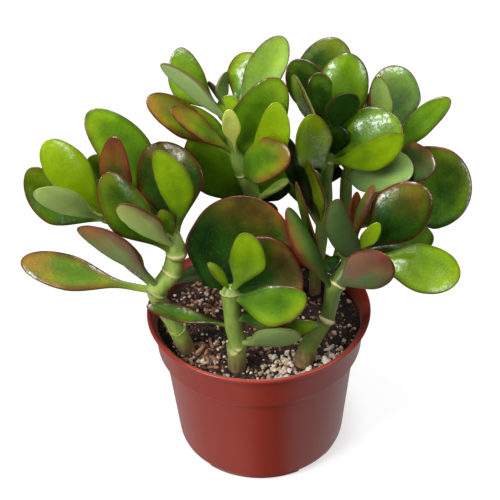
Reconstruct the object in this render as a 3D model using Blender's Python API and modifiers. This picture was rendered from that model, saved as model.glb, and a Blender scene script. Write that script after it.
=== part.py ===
"""A jade plant in a 12 cm plastic pot: the pot, the potting mix and six rooted leafy stems.

Run it with: blender --background --python part.py
Lengths below are in millimetres and are turned into metres where the meshes are made.
The pot's axis is the Z axis, the pot stands on z = 0, and its front looks along -Y.
"""

import math
import random

import bmesh
import bpy
from mathutils import Matrix, Vector

MM = 0.001

# Pot, turned about the Z axis
POT_HEIGHT = 87.0
LIP_RADIUS = 60.0
LIP_THICKNESS = 2.6
COLLAR_TOP_RADIUS = 56.6
COLLAR_FOOT_RADIUS = 55.4
COLLAR_FOOT_HEIGHT = 65.5
BODY_TOP_RADIUS = 51.8
BODY_TOP_HEIGHT = 62.0
BODY_FOOT_RADIUS = 46.6
BODY_FOOT_HEIGHT = 5.0
BASE_RADIUS = 43.6
WALL = 1.4
FLOOR_TOP = 5.0
POT_STEPS = 48

# Drainage channels under the floor, each with one round hole
CHANNELS = 4
CHANNEL_WIDTH = 20.0
CHANNEL_HEIGHT = 3.4
CHANNEL_INNER_RADIUS = 17.0
FIRST_CHANNEL_ANGLE = math.radians(-142.0)
DRAIN_RADIUS = 3.5
DRAIN_PLACE = 33.0

# Potting mix, with grit standing out of its top
GAP = 0.3
SOIL_TOP = 76.0
SOIL_STEPS = 32
SOIL_RINGS = 6
SOIL_SWELL = 1.1
GRIT_SEED = 11
GRIT_COUNT = 46
GRIT_SMALLEST = 1.8
GRIT_LARGEST = 3.2
GRIT_RIM_CLEARANCE = 3.6
GRIT_STEM_CLEARANCE = 9.4
GRIT_BACK_SHARE = 0.25
HOLE_SIDES = 12
HOLE_LENGTH = 60.0

# Leaves are lofts with this many sides and rings
LEAF_SIDES = 8
LEAF_RINGS = 7
BLADE_WIDEST = 0.55
STALK_SHARE = 0.2
LEAST_THICKNESS = 2.0
THICKNESS_PER_WIDTH = 0.07
UPPER_SHARE = 0.42
STEM_RESOLUTION = 2

# Colours are linear, as Principled BSDF takes them
TERRACOTTA = (0.30, 0.045, 0.025)
PEAT = (0.045, 0.028, 0.018)
LEAF_GREEN = (0.10, 0.22, 0.02)

# A plant is a list of branches. A branch has the points of its centre line, each with the
# stem's radius there, and its leaves. A leaf's row is: where it leaves the branch, as a point
# number with a share of the way to the next point; its tip; its width; the way its upper face
# looks; how far its middle bows above the line from root to tip; how far its edges rise above
# its middle; the share of its length that is a narrow stalk; and, where it curves sideways,
# how far its middle stands off to the side.
LEFT_PLANT = (
    (
        ((-33, -19, 57, 4.5), (-42, -24, 90, 4.5), (-42, -24, 92, 5.0), (-43, -24, 94, 4.4),
         (-51, -26, 115, 4.3), (-51, -26, 119, 5.2), (-49, -26, 122, 4.6), (-43, -25, 130, 4.9),
         (-41, -23, 137, 4.6), (-40, -23, 140, 5.2), (-41, -21, 149, 3.8), (-41, -20, 153, 2.4)),
        (
            (5, (-119, -15, 132), 19, (0, -1, 1.4), 2, 1, 0.22, 1.5),
            (5.6, (-84, -35, 166), 18, (0, 3, 1.8), -3, 2, 0.22, 6),
            (5, (-22, 0, 109), 13, (0, 0, 1), 3, 1, 0.25),
            (9, (-71, -28, 190), 22, (0, -1, 1), 3, -2, 0.15, 4),
            (9.4, (-62, -47, 186), 16, (0, 2, 1), -2, 2, 0.10),
            (9, (-18, 6, 132), 17, (0, 0, 1), 2, 1, 0.30),
            (10, (-45, -26, 201), 16.5, (0, -3, 1), 2, 0, 0.12, -6),
            (10, (-45, -29, 170), 9, (0, -3, 1), 2, 1, 0.15),
            (10, (-46, 2, 189), 32, (0, -3, 1), 1, 3, 0.05, -3),
            (10, (-79, 8, 204), 25, (1, -3, 2), -2, 1, 0.20, -4),
            (5, (-74, 8, 128), 13, (0, 1, 3), -2, 2, 0.20),
            (8, (-64, 22, 163), 26, (0, 1, 2), -3, 2, 0.20),
            (9.6, (-47, 24, 176), 20, (0, 1, 1), -2, 2, 0.20),
        ),
    ),
    (
        ((-41, -21, 143, 3.2), (-61, -14, 150, 3.0), (-75, -8, 152, 3.0), (-78, -7, 153, 2.0)),
        (
            (2, (-112, -3, 177), 23, (1, -3, 2), -4, 3, 0.0, 5),
            (2, (-99, -10, 198), 21, (0, -1, 1), 3, -3, 0.12),
            (2, (-102, -33, 186), 16, (0, 1, 0), -2, 2, 0.15),
            (1, (-66, -12, 201), 16, (-1, -3, 1), 2, 1, 0.15, 2),
            (2, (-79, 5, 181), 16, (1, -2, 1), 2, 1, 0.20),
        ),
    ),
)

CENTRE_PLANT = (
    (
        ((-12, -37, 57, 4.8), (-12, -37, 88, 4.8), (-12, -37, 90, 5.3), (-11, -37, 93, 4.6),
         (-13, -37, 103, 4.4), (-14, -37, 120, 4.3), (-14, -36, 125, 5.0), (-14, -36, 129, 3.0)),
        (
            (6, (-2, -14, 166), 52, (0, -3, 2), -5, 5, -0.3),
            (6, (20, -35, 139), 42, (-1, -2, 1), -3, 4, 0.05),
            (6, (-5, -40, 163), 18, (0, -3, 1), 1, 1, 0.10, -4),
            (6, (-24, -40, 146), 6, (1, -1, 1), 1, 1, 0.05),
            (5.8, (23, -50, 130), 21, (0, -2, 1), 2, 1, 0.05, -4),
            (3, (18, -52, 112), 23, (0, 2, 1), -2, 1, 0.15),
            (4.3, (17, -46, 117), 18, (0, -1, 2), 2, 1, 0.10),
            (3.1, (29, -39, 105), 9, (0, -1, 1), 2, 1, 0.25),
            (4, (-55, -43, 123), 9, (0, -1, 2), 0, 1, 0.15),
        ),
    ),
)

RIGHT_PLANT = (
    (
        ((17, -34, 57, 5.6), (22, -34, 76, 5.4), (24, -34, 82, 5.0), (25, -34, 87, 4.6),
         (33, -33, 101, 3.9), (34, -33, 103, 4.3), (35, -32, 106, 3.7), (37, -32, 119, 3.7),
         (39, -31, 124, 4.4), (48, -24, 135, 3.6), (50, -22, 140, 2.4)),
        (
            (7, (14, -32, 171), 13, (-3, 2, 0), -2, 3, 0.05, -1),
            (7, (19, -20, 178), 5, (-1, -1, 0), 1, 1, 0.1),
            (8, (35, -15, 128), 14, (0, -1, 0.3), 2, 1, 0.20),
            (9, (37, -37, 179), 14, (0, 3, 1), -2, 2, -0.5, -3),
            (9.5, (49, -12, 166), 7, (1, -2, 0), -2, 1, 0.10),
            (9.5, (57, -16, 172), 8, (2, 1, 0), -4, 1, 0.15),
            (9.5, (82, -20, 172), 28, (0, -1.5, 1), 4, -2, 0.10),
            (9.5, (58, -32, 161), 8, (0, -2, 1), 1, 1, 0.10),
            (8, (61, -57, 158), 21, (0, 2, -1), -3, 2, 0.10),
            (9, (100, -30, 127), 27, (0, -1, 2), 4, 0, 0.15, -2),
            (9, (89, -5, 135), 20, (0, -1, 2), 2, 1, 0.20),
            (8, (60, -8, 112), 18, (0, 0, 1), 2, 1, 0.25),
        ),
    ),
)

BACK_PLANT = (
    (
        ((5, 12, 57, 4.5), (5, 12, 90, 4.5), (3, 12, 115, 4.4), (0, 12, 143, 4.4),
         (-3, 12, 154, 4.2), (-6, 12, 164, 4.6), (-9, 12, 173, 3.8), (-12, 12, 186, 2.6),
         (-11, 14, 199, 2.0)),
        (
            (3.2, (-30, 8, 190), 28, (1, -4, 0), -2, 2, -0.1, 3),
            (6, (-39, -6, 211), 14, (0, -1, 2), 1, 1, 0.15),
            (6, (-51, 5, 211), 19, (0, -1, 2), 1, 1, 0.20),
            (7.5, (-43, 10, 227), 11, (1, 2, 0), -1, 2, 0.05),
            (7.8, (-37, 30, 224), 19, (0, -3, 1), -1, 2, 0.15, 6),
            (7.8, (-12, 25, 214), 13, (2, -1, 0), -4, 1, 0.10, 1),
            (7.8, (-22, 30, 205), 14, (2, -1, 0), 1, 1, 0.10),
            (7.8, (2, 40, 215.5), 28, (0, -1.5, 1), 2, -3, 0.10, -4),
            (7.6, (16, 34, 227), 18, (0, -1.5, 1), 1, 3, 0.10, -1),
            (6.3, (13, 8, 218), 25, (0, -2, 1), 2, 1, -0.2, -1),
            (7, (-12, 18, 205), 13, (0, -1, 1), 1, 1, 0.10),
            (6, (-12, -4, 209), 9, (0, -2, 1), 1, 1, 0.3),
            (5, (12, 3, 208), 17, (0, -2, 1), 2, 2, 0.1, -5),
            (5.3, (17, -12, 188), 22, (-0.2, -1, 0.7), 2, 0, -0.3, 1),
            (3.2, (16, 2, 163), 14, (0, 0, 1), 1, 1, 0.10),
            (3, (18, 17, 152), 10, (0, -1, 0), 1, 1, 0.10, 2),
            (3, (11, 4, 146), 11, (0, -1, 0), 1, 1, 0.10),
            (2, (-10, 48, 122), 26, (0, 1, 3), -3, 3, 0.20),
            (3, (-28, 40, 150), 28, (0, 1, 2), -3, 3, 0.20),
            (3, (16, 52, 152), 30, (0, 1, 2), -3, 3, 0.20),
            (5, (-34, 46, 184), 26, (0, 1, 2), -3, 3, 0.15),
            (6, (6, 56, 188), 28, (0, 1, 2), -3, 3, 0.15),
        ),
    ),
)

BACK_RIGHT_PLANT = (
    (
        ((32, 24, 57, 3.4), (32, 24, 90, 3.2), (34, 22, 105, 3.4), (35, 22, 121, 3.4),
         (37, 22, 136, 3.2), (37, 22, 151, 3.0), (38, 22, 163, 3.3), (41, 24, 180, 2.7),
         (42, 25, 189, 2.0)),
        (
            (6, (73, 12, 188), 27, (-1, -2, 2), 2, 3, 0.08, 3),
            (5.6, (25, 2, 201), 22, (0.2, -1, 0.6), 2, 3, 0.10, 4),
            (3.1, (24, 6, 177), 13, (-1, -1, 1), 1, 1, 0.15, -5),
            (6, (41, 20, 185), 16, (0, -1, 0), 1, 1, 0.10),
            (6.3, (20, 20, 214), 14, (-2, -1, 0), 1, 2, 0.10),
            (7, (20, 40, 211), 20, (0, -2, 1), 1, 1, 0.10),
            (7, (31, 30, 209), 15, (0, -2, 1), 1, 1, 0.10),
            (7.6, (40, 55, 216), 29, (0, -2, 1), -2, 1, 0.10, 4),
            (7, (48, 35, 217), 26, (0, -1.5, 1), 3, -3, -0.2),
            (6.8, (46, 12, 207), 17, (0, 1, 1), 1, 1, 0.10),
            (3, (16, 12, 184), 17, (-1, -1, 0), 2, 1, 0.15),
            (3, (22, 64, 140), 26, (0, 1, 2), -3, 3, 0.20),
            (5, (38, 58, 158), 28, (0, 1, 2), -3, 3, 0.15),
            (6, (62, 50, 178), 24, (1, 0, 2), -3, 3, 0.15),
            (6, (71, -8, 195), 16, (0, -3, 1), 3, 1, 0.05, -4),
        ),
    ),
)

FAR_RIGHT_PLANT = (
    (
        ((40, 14, 57, 3.6), (40, 14, 88, 3.6), (47, 26, 108, 3.4), (48, 30, 128, 3.3),
         (49, 30, 150, 3.2), (58, 28, 157, 2.9), (68, 27, 162, 2.7), (74, 28, 165, 2.0)),
        (
            (6.5, (74, 55, 199), 26, (0, -2, 1), 2, 1, 0.15),
            (6, (63, 38, 202), 12, (0, -2, 1), 1, 1, 0.15),
            (6.5, (101, 40, 187), 14, (0, -1, 1), 1, 1, -0.15, 1),
            (4, (77, -2, 168), 27, (0, -1, 1.5), 2, 1, -0.1),
            (6, (88, -5, 174), 20, (0, -2, 1), 2, 1, 0.15),
            (5, (59, 34, 195), 9, (-1, 0, 0), 1, 1, 0.20),
            (4, (36, 39, 142), 13, (0, -1, 2), 1, 1, 0.10),
            (2.4, (66, 52, 112), 26, (0, 1, 3), -3, 3, 0.25),
            (4, (52, 66, 152), 26, (0, 1, 2), -3, 3, 0.20),
            (6.4, (74, 62, 150), 24, (0, 1, 2), -3, 3, 0.20),
        ),
    ),
    (
        ((48, 29, 120, 2.9), (60, 28, 132, 2.7), (68, 26, 140, 2.2)),
        (
            (1.5, (112, 20, 150), 43, (0, -1.2, 1), 4, 2, 0.08),
            (1.5, (82, 56, 132), 26, (0, 1, 2), -3, 3, 0.15),
        ),
    ),
)

PLANTS = {
    "left_plant": LEFT_PLANT,
    "centre_plant": CENTRE_PLANT,
    "right_plant": RIGHT_PLANT,
    "back_plant": BACK_PLANT,
    "back_right_plant": BACK_RIGHT_PLANT,
    "far_right_plant": FAR_RIGHT_PLANT,
}


def clear_scene():
    """Remove every object that the new file holds."""
    for thing in list(bpy.data.objects):
        bpy.data.objects.remove(thing, do_unlink=True)


def new_collection(name):
    """Make a collection in the scene."""
    collection = bpy.data.collections.new(name)
    bpy.context.scene.collection.children.link(collection)
    return collection


def material(name, colour, roughness):
    """Make a plain, non-metallic Principled material."""
    made = bpy.data.materials.new(name)
    made.use_nodes = True
    shader = made.node_tree.nodes["Principled BSDF"]
    shader.inputs["Base Color"].default_value = (*colour, 1.0)
    shader.inputs["Roughness"].default_value = roughness
    shader.inputs["Metallic"].default_value = 0.0
    return made


def add_object(name, bm, collection, finish=None):
    """Turn a bmesh whose coordinates are millimetres into an object in metres."""
    bmesh.ops.scale(bm, vec=(MM, MM, MM), verts=bm.verts)
    mesh = bpy.data.meshes.new(name)
    bm.to_mesh(mesh)
    bm.free()
    thing = bpy.data.objects.new(name, mesh)
    collection.objects.link(thing)
    if finish:
        mesh.materials.append(finish)
    return thing


def add_turned(name, profile, steps, collection, finish):
    """Turn a closed outline of (radius, height) pairs about the Z axis."""
    bm = bmesh.new()
    corners = [bm.verts.new((radius, 0, height)) for radius, height in profile]
    for first, second in zip(corners, corners[1:]):
        bm.edges.new((first, second))
    thing = add_object(name, bm, collection, finish)
    screw = thing.modifiers.new("turn", "SCREW")
    screw.steps = steps
    screw.render_steps = steps
    screw.use_merge_vertices = True
    screw.merge_threshold = 0.00005
    return thing


def wall_inside():
    """Give the pot's inner outline, from the lip down to the floor."""
    return [
        (LIP_RADIUS - LIP_THICKNESS, POT_HEIGHT - 1.0),
        (COLLAR_TOP_RADIUS - WALL, POT_HEIGHT - 4.0),
        (COLLAR_FOOT_RADIUS - WALL, COLLAR_FOOT_HEIGHT + 0.6),
        (BODY_TOP_RADIUS - WALL, BODY_TOP_HEIGHT + 0.4),
        (BODY_FOOT_RADIUS - WALL, FLOOR_TOP + 2.0),
        (BODY_FOOT_RADIUS - WALL - 2.4, FLOOR_TOP),
    ]


def pot_profile():
    """Give the pot's whole outline, down its outer side and back up its inner side."""
    outside = [
        (LIP_RADIUS - 1.4, POT_HEIGHT),
        (LIP_RADIUS - 0.3, POT_HEIGHT - 0.6),
        (LIP_RADIUS, POT_HEIGHT - 1.4),
        (LIP_RADIUS - 0.6, POT_HEIGHT - LIP_THICKNESS),
        (COLLAR_TOP_RADIUS, POT_HEIGHT - LIP_THICKNESS - 0.4),
        (COLLAR_FOOT_RADIUS, COLLAR_FOOT_HEIGHT),
        (COLLAR_FOOT_RADIUS - 1.0, COLLAR_FOOT_HEIGHT - 1.2),
        (BODY_TOP_RADIUS, BODY_TOP_HEIGHT),
        (BODY_FOOT_RADIUS, BODY_FOOT_HEIGHT),
        (BODY_FOOT_RADIUS - 1.3, 1.4),
        (BASE_RADIUS, 0.0),
    ]
    floor = [(0.0, 0.0), (0.0, FLOOR_TOP)]
    return outside + floor + wall_inside()[::-1] + [outside[0]]


def cut(thing, cutter):
    """Cut one object out of another with an exact Boolean."""
    cutter.hide_render = True
    cutter.display_type = "WIRE"
    boolean = thing.modifiers.new("cut " + cutter.name, "BOOLEAN")
    boolean.operation = "DIFFERENCE"
    boolean.solver = "EXACT"
    boolean.object = cutter


def channel_angles():
    """Give the directions of the drainage channels, seen from above."""
    return [FIRST_CHANNEL_ANGLE + math.tau * number / CHANNELS for number in range(CHANNELS)]


def add_pot(parts, cutters):
    """Make the turned pot, with channels under its floor and a hole in each."""
    finish = material("terracotta plastic", TERRACOTTA, 0.42)
    pot = add_turned("pot", pot_profile(), POT_STEPS, parts, finish)
    length = LIP_RADIUS - CHANNEL_INNER_RADIUS
    for number, angle in enumerate(channel_angles()):
        turn = Matrix.Rotation(angle, 4, "Z")
        slot = bmesh.new()
        bmesh.ops.create_cube(slot, size=1.0)
        bmesh.ops.scale(slot, vec=(length, CHANNEL_WIDTH, 2 * CHANNEL_HEIGHT), verts=slot.verts)
        bmesh.ops.translate(slot, vec=(CHANNEL_INNER_RADIUS + length / 2, 0, 0), verts=slot.verts)
        bmesh.ops.transform(slot, matrix=turn, verts=slot.verts)
        cut(pot, add_object(f"channel cutter {number}", slot, cutters))
        hole = bmesh.new()
        bmesh.ops.create_cone(
            hole, cap_ends=True, segments=12, radius1=DRAIN_RADIUS, radius2=DRAIN_RADIUS,
            depth=4 * FLOOR_TOP,
        )
        bmesh.ops.translate(hole, vec=turn @ Vector((DRAIN_PLACE, 0, 0)), verts=hole.verts)
        cut(pot, add_object(f"drain cutter {number}", hole, cutters))
    return pot


def soil_swell(x, y):
    """Give the soft rise and fall of the potting mix's top at a place."""
    wave = math.sin(0.23 * x + 1.1) * math.cos(0.19 * y - 0.4) + 0.6 * math.sin(0.41 * x - 0.37 * y)
    return SOIL_SWELL * wave / 1.6


def soil_outline(height):
    """Give the radius of the potting mix at a height, one gap inside the pot's wall."""
    wall = wall_inside()
    for (upper_radius, upper), (lower_radius, lower) in zip(wall, wall[1:]):
        if upper >= height >= lower:
            share = (height - lower) / (upper - lower)
            return lower_radius + share * (upper_radius - lower_radius) - GAP
    return wall[-1][0] - GAP


def add_soil_body(parts):
    """Make the filled disc of potting mix, with a soft relief on its top."""
    heights = [SOIL_TOP, COLLAR_FOOT_HEIGHT + 0.6, BODY_TOP_HEIGHT + 0.4, FLOOR_TOP + 2.0]
    rings = [(soil_outline(SOIL_TOP) * (ring + 1) / SOIL_RINGS, SOIL_TOP) for ring in range(SOIL_RINGS)]
    rings += [(soil_outline(height), height) for height in heights[1:]]
    rings += [(soil_outline(FLOOR_TOP), FLOOR_TOP + GAP)]
    profile = [(0.0, SOIL_TOP), *rings, (0.0, FLOOR_TOP + GAP)]
    bm = bmesh.new()
    corners = [bm.verts.new((radius, 0, height)) for radius, height in profile]
    edges = [bm.edges.new(pair) for pair in zip(corners, corners[1:])]
    bmesh.ops.spin(
        bm, geom=corners + edges, cent=(0, 0, 0), axis=(0, 0, 1), angle=math.tau,
        steps=SOIL_STEPS, use_merge=True,
    )
    bmesh.ops.remove_doubles(bm, verts=bm.verts, dist=0.01)
    edge = soil_outline(SOIL_TOP)
    for corner in bm.verts:
        reach = math.hypot(corner.co.x, corner.co.y)
        if corner.co.z > SOIL_TOP - 0.01 and reach < edge - 0.01:
            corner.co.z += soil_swell(corner.co.x, corner.co.y)
    bmesh.ops.triangulate(bm, faces=bm.faces)
    bmesh.ops.recalc_face_normals(bm, faces=bm.faces)
    return add_object("potting_mix", bm, parts, material("potting mix", PEAT, 0.95))


def stem_feet():
    """Give each stem's lowest two points, as (foot, next point) pairs of 3-D points with radii."""
    return [branches[0][0][:2] for branches in PLANTS.values()]


def grit_places():
    """Scatter grit over the soil, most of it at the front right, clear of the stems and the rim."""
    draw = random.Random(GRIT_SEED)
    edge = soil_outline(SOIL_TOP) - GRIT_RIM_CLEARANCE
    feet = [Vector(foot[:2]).lerp(Vector(upper[:2]), 0.6) for foot, upper in stem_feet()]
    places = []
    while len(places) < GRIT_COUNT:
        reach = edge * math.sqrt(draw.random())
        angle = draw.uniform(0, math.tau)
        place = Vector((reach * math.cos(angle), reach * math.sin(angle)))
        size = draw.uniform(GRIT_SMALLEST, GRIT_LARGEST)
        front = 0.5 - 0.5 * place.y / edge
        wanted = draw.random() < GRIT_BACK_SHARE + (1 - GRIT_BACK_SHARE) * front
        clear = all((place - foot).length > GRIT_STEM_CLEARANCE for foot in feet)
        apart = all((place - other).length > 0.9 * (size + across) for other, across in places)
        if wanted and clear and apart:
            places.append((place, size))
    return places


def add_grit(collection):
    """Make the grains that stand out of the potting mix."""
    draw = random.Random(GRIT_SEED + 1)
    for number, (place, size) in enumerate(grit_places()):
        bm = bmesh.new()
        bmesh.ops.create_icosphere(bm, subdivisions=1, radius=size)
        squash = Matrix.Diagonal((draw.uniform(0.8, 1.1), draw.uniform(0.8, 1.1), 0.8, 1.0))
        turn = Matrix.Rotation(draw.uniform(0, math.tau), 4, (draw.random(), draw.random(), 1.0))
        height = SOIL_TOP + soil_swell(place.x, place.y) + 0.25 * size
        bmesh.ops.transform(
            bm, matrix=Matrix.Translation((place.x, place.y, height)) @ squash @ turn, verts=bm.verts
        )
        add_object(f"grain {number}", bm, collection)


def add_stem_holes(soil, cutters):
    """Cut a plain hole for each stem, one gap wider and deeper than the stem."""
    for number, (foot, upper) in enumerate(stem_feet()):
        low = Vector(foot[:3])
        along = (Vector(upper[:3]) - low).normalized()
        low = low - GAP * along
        bm = bmesh.new()
        radius = (max(foot[3], upper[3]) + GAP) / math.cos(math.pi / HOLE_SIDES)
        bmesh.ops.create_cone(
            bm, cap_ends=True, segments=HOLE_SIDES, radius1=radius, radius2=radius, depth=HOLE_LENGTH
        )
        place = Matrix.Translation(low + along * HOLE_LENGTH / 2)
        turn = along.to_track_quat("Z", "Y").to_matrix().to_4x4()
        bmesh.ops.transform(bm, matrix=place @ turn, verts=bm.verts)
        cut(soil, add_object(f"stem hole cutter {number}", bm, cutters))


def apply_modifiers(thing):
    """Replace an object's mesh with what its modifiers make of it."""
    view = bpy.context.evaluated_depsgraph_get()
    made = bpy.data.meshes.new_from_object(thing.evaluated_get(view))
    thing.modifiers.clear()
    thing.data = made


def shells(bm):
    """Give the lists of faces that hang together, the largest first."""
    left = set(bm.faces)
    found = []
    while left:
        shell = [left.pop()]
        for face in shell:
            for edge in face.edges:
                for other in edge.link_faces:
                    if len(edge.link_faces) == 2 and other in left:
                        left.remove(other)
                        shell.append(other)
        found.append(shell)
    return sorted(found, key=len, reverse=True)


def keep_outer_shell(thing):
    """Fill the hollows that a union has sealed and drop loose scraps, leaving one skin."""
    bm = bmesh.new()
    bm.from_mesh(thing.data)
    for shell in shells(bm)[1:]:
        bmesh.ops.delete(bm, geom=shell, context="FACES")
    bm.to_mesh(thing.data)
    bm.free()


def fuse(thing, pieces):
    """Join a collection's objects to one object and remove them."""
    union = thing.modifiers.new("fuse", "BOOLEAN")
    union.operation = "UNION"
    union.solver = "EXACT"
    union.operand_type = "COLLECTION"
    union.collection = pieces
    apply_modifiers(thing)
    keep_outer_shell(thing)
    for piece in list(pieces.objects):
        bpy.data.objects.remove(piece, do_unlink=True)
    bpy.data.collections.remove(pieces)


def half_width(share, neck):
    """Give a leaf's half width at a share of its length, with 1 at its widest."""
    widest = neck + BLADE_WIDEST * (1 - neck)
    rise = min(max((share - neck) / (widest - neck), 0.0), 1.0)
    width = STALK_SHARE + (1 - STALK_SHARE) * rise * rise * (3 - 2 * rise)
    if share <= widest:
        return width
    return width * math.sqrt(max(0.0, 1 - ((share - widest) / (1 - widest)) ** 2.1))


def half_thickness(share):
    """Give a leaf's half thickness at a share of its length, with about 1 at its middle."""
    return (0.78 + 0.22 * math.sin(math.pi * share)) * math.sqrt(max(0.0, 1 - abs(2 * share - 1) ** 5))


def leaf_shape(root, row):
    """Give a function that carries a unit sphere's points to a leaf's skin."""
    tip, width, face, bow, cup, neck, *rest = row
    sweep = rest[0] if rest else 0.0
    along = Vector(tip) - root
    length = along.length
    along.normalize()
    up = Vector(face)
    up = (up - up.dot(along) * along).normalized()
    side = up.cross(along)
    thickness = LEAST_THICKNESS + THICKNESS_PER_WIDTH * width

    def place(point):
        share = (point.z + 1) / 2
        ring = math.hypot(point.x, point.y)
        across = point.x / ring if ring > 1e-6 else 0.0
        through = point.y / ring if ring > 1e-6 else 0.0
        reach = across * half_width(share, neck) * width / 2
        lift = through * half_thickness(share) * thickness
        lift *= UPPER_SHARE if through > 0 else 1 - UPPER_SHARE
        lift += bow * 4 * share * (1 - share) + cup * (2 * reach / width) ** 2
        drift = sweep * 4 * share * (1 - share)
        return root + along * length * share + side * (reach + drift) + up * lift

    return place


def point_on(points, station):
    """Give the centre line's point at a station, such as 2.5 for halfway from point 2 to point 3."""
    first = min(int(station), len(points) - 2)
    return Vector(points[first][:3]).lerp(Vector(points[first + 1][:3]), station - first)


def add_leaf(name, points, row, collection):
    """Make one leaf, its stalk's end inside the stem."""
    station, *shape = row
    place = leaf_shape(point_on(points, station), shape)
    bm = bmesh.new()
    bmesh.ops.create_uvsphere(bm, u_segments=LEAF_SIDES, v_segments=LEAF_RINGS, radius=1.0)
    for corner in bm.verts:
        corner.co = place(corner.co)
    bmesh.ops.triangulate(bm, faces=bm.faces)
    return add_object(name, bm, collection)


def add_stem(name, points, collection, finish=None):
    """Make one stem as a tube along its centre line, closed at both ends."""
    curve = bpy.data.curves.new(name, "CURVE")
    curve.dimensions = "3D"
    curve.bevel_depth = MM
    curve.bevel_resolution = STEM_RESOLUTION
    curve.use_fill_caps = True
    spline = curve.splines.new("POLY")
    spline.points.add(len(points) - 1)
    for spot, (x, y, z, radius) in zip(spline.points, points):
        spot.co = (x * MM, y * MM, z * MM, 1.0)
        spot.radius = radius
    tube = bpy.data.objects.new(name + " curve", curve)
    collection.objects.link(tube)
    view = bpy.context.evaluated_depsgraph_get()
    mesh = bpy.data.meshes.new_from_object(tube.evaluated_get(view))
    bpy.data.objects.remove(tube, do_unlink=True)
    bm = bmesh.new()
    bm.from_mesh(mesh)
    bmesh.ops.remove_doubles(bm, verts=bm.verts, dist=1e-6)
    bmesh.ops.triangulate(bm, faces=bm.faces)
    bmesh.ops.scale(bm, vec=(1 / MM, 1 / MM, 1 / MM), verts=bm.verts)
    return add_object(name, bm, collection, finish)


def add_plant(name, branches, parts):
    """Make one rooted stem with its side shoots and leaves, fused to one solid."""
    finish = material(name.replace("_", " "), LEAF_GREEN, 0.35)
    pieces = new_collection(name + " pieces")
    plant = add_stem(name, branches[0][0], parts, finish)
    for number, (points, leaves) in enumerate(branches):
        if number > 0:
            add_stem(f"{name} shoot {number}", points, pieces)
        for leaf_number, row in enumerate(leaves):
            add_leaf(f"{name} leaf {number} {leaf_number}", points, row, pieces)
    fuse(plant, pieces)
    return plant


def main():
    """Build the whole potted plant."""
    clear_scene()
    parts = new_collection("potted_jade_plant")
    cutters = new_collection("cutters")
    add_pot(parts, cutters)
    soil = add_soil_body(parts)
    grains = new_collection("grit pieces")
    add_grit(grains)
    fuse(soil, grains)
    add_stem_holes(soil, cutters)
    for name, branches in PLANTS.items():
        add_plant(name, branches, parts)


main()
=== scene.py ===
"""Looks of a jade plant in a terracotta-coloured plastic pot.

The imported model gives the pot, the potting mix and six rooted leafy stems. This script replaces
each of them with a finer piece of the same form, strews the mix with perlite, bark and peat, and
adds the finishes, the floor, the lights and the camera.

Lengths are in millimetres, and a finished piece is turned into metres. The pot's axis is the
Z axis, the pot stands on z = 0, and its front looks along -Y.
"""

from __future__ import annotations

import logging
import math
import random
from dataclasses import dataclass
from enum import Enum
from typing import Iterable, Optional, Union

import bmesh
import bpy
from mathutils import Matrix, Vector, noise

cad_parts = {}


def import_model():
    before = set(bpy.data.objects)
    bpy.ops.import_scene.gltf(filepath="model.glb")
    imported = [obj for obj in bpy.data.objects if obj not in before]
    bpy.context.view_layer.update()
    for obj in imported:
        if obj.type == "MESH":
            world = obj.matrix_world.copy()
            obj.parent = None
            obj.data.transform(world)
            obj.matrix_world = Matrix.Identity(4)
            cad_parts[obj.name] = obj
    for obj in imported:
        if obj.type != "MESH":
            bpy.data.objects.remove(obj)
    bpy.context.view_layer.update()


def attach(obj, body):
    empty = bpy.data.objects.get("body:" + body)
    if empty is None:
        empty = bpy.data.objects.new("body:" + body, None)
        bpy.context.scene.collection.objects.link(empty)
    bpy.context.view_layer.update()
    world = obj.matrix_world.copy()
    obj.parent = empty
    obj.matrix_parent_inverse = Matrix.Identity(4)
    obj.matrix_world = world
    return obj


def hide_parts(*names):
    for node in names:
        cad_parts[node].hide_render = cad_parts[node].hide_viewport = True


LOG = logging.getLogger("potted_jade_plant")

MM = 0.001
BODY = "root"

# The standard curve of screen colours: straight near black, and a power above its knee
SCREEN_KNEE = 0.04045
SCREEN_SLOPE = 12.92
SCREEN_OFFSET = 0.055
SCREEN_POWER = 2.4

Triple = tuple[float, float, float]
Number = Union["Value", float]


def linear(red: int, green: int, blue: int) -> Triple:
    """Turn a screen colour of 0 to 255 into the linear colour that shaders take.

    Args:
        red: The red part.
        green: The green part.
        blue: The blue part.

    Returns:
        The linear colour.
    """
    made = []
    for part in (red / 255, green / 255, blue / 255):
        if part <= SCREEN_KNEE:
            made.append(part / SCREEN_SLOPE)
        else:
            made.append(((part + SCREEN_OFFSET) / (1 + SCREEN_OFFSET)) ** SCREEN_POWER)
    return made[0], made[1], made[2]


def smooth(low: float, high: float, value: float) -> float:
    """Rise softly from 0 at low to 1 at high.

    Args:
        low: Where the rise starts.
        high: Where it ends.
        value: Where it is wanted.

    Returns:
        The height of the rise there.
    """
    share = min(max((value - low) / (high - low), 0.0), 1.0)
    return share * share * (3 - 2 * share)


def arch(share: float) -> float:
    """Give the height of an arch that is 0 at both ends and 1 in the middle."""
    return 4 * share * (1 - share)


def ripple(x: float, y: float, z: float) -> float:
    """Give Perlin noise of about -1 to 1."""
    return 2.0 * noise.noise(Vector((x, y, z)))


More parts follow.
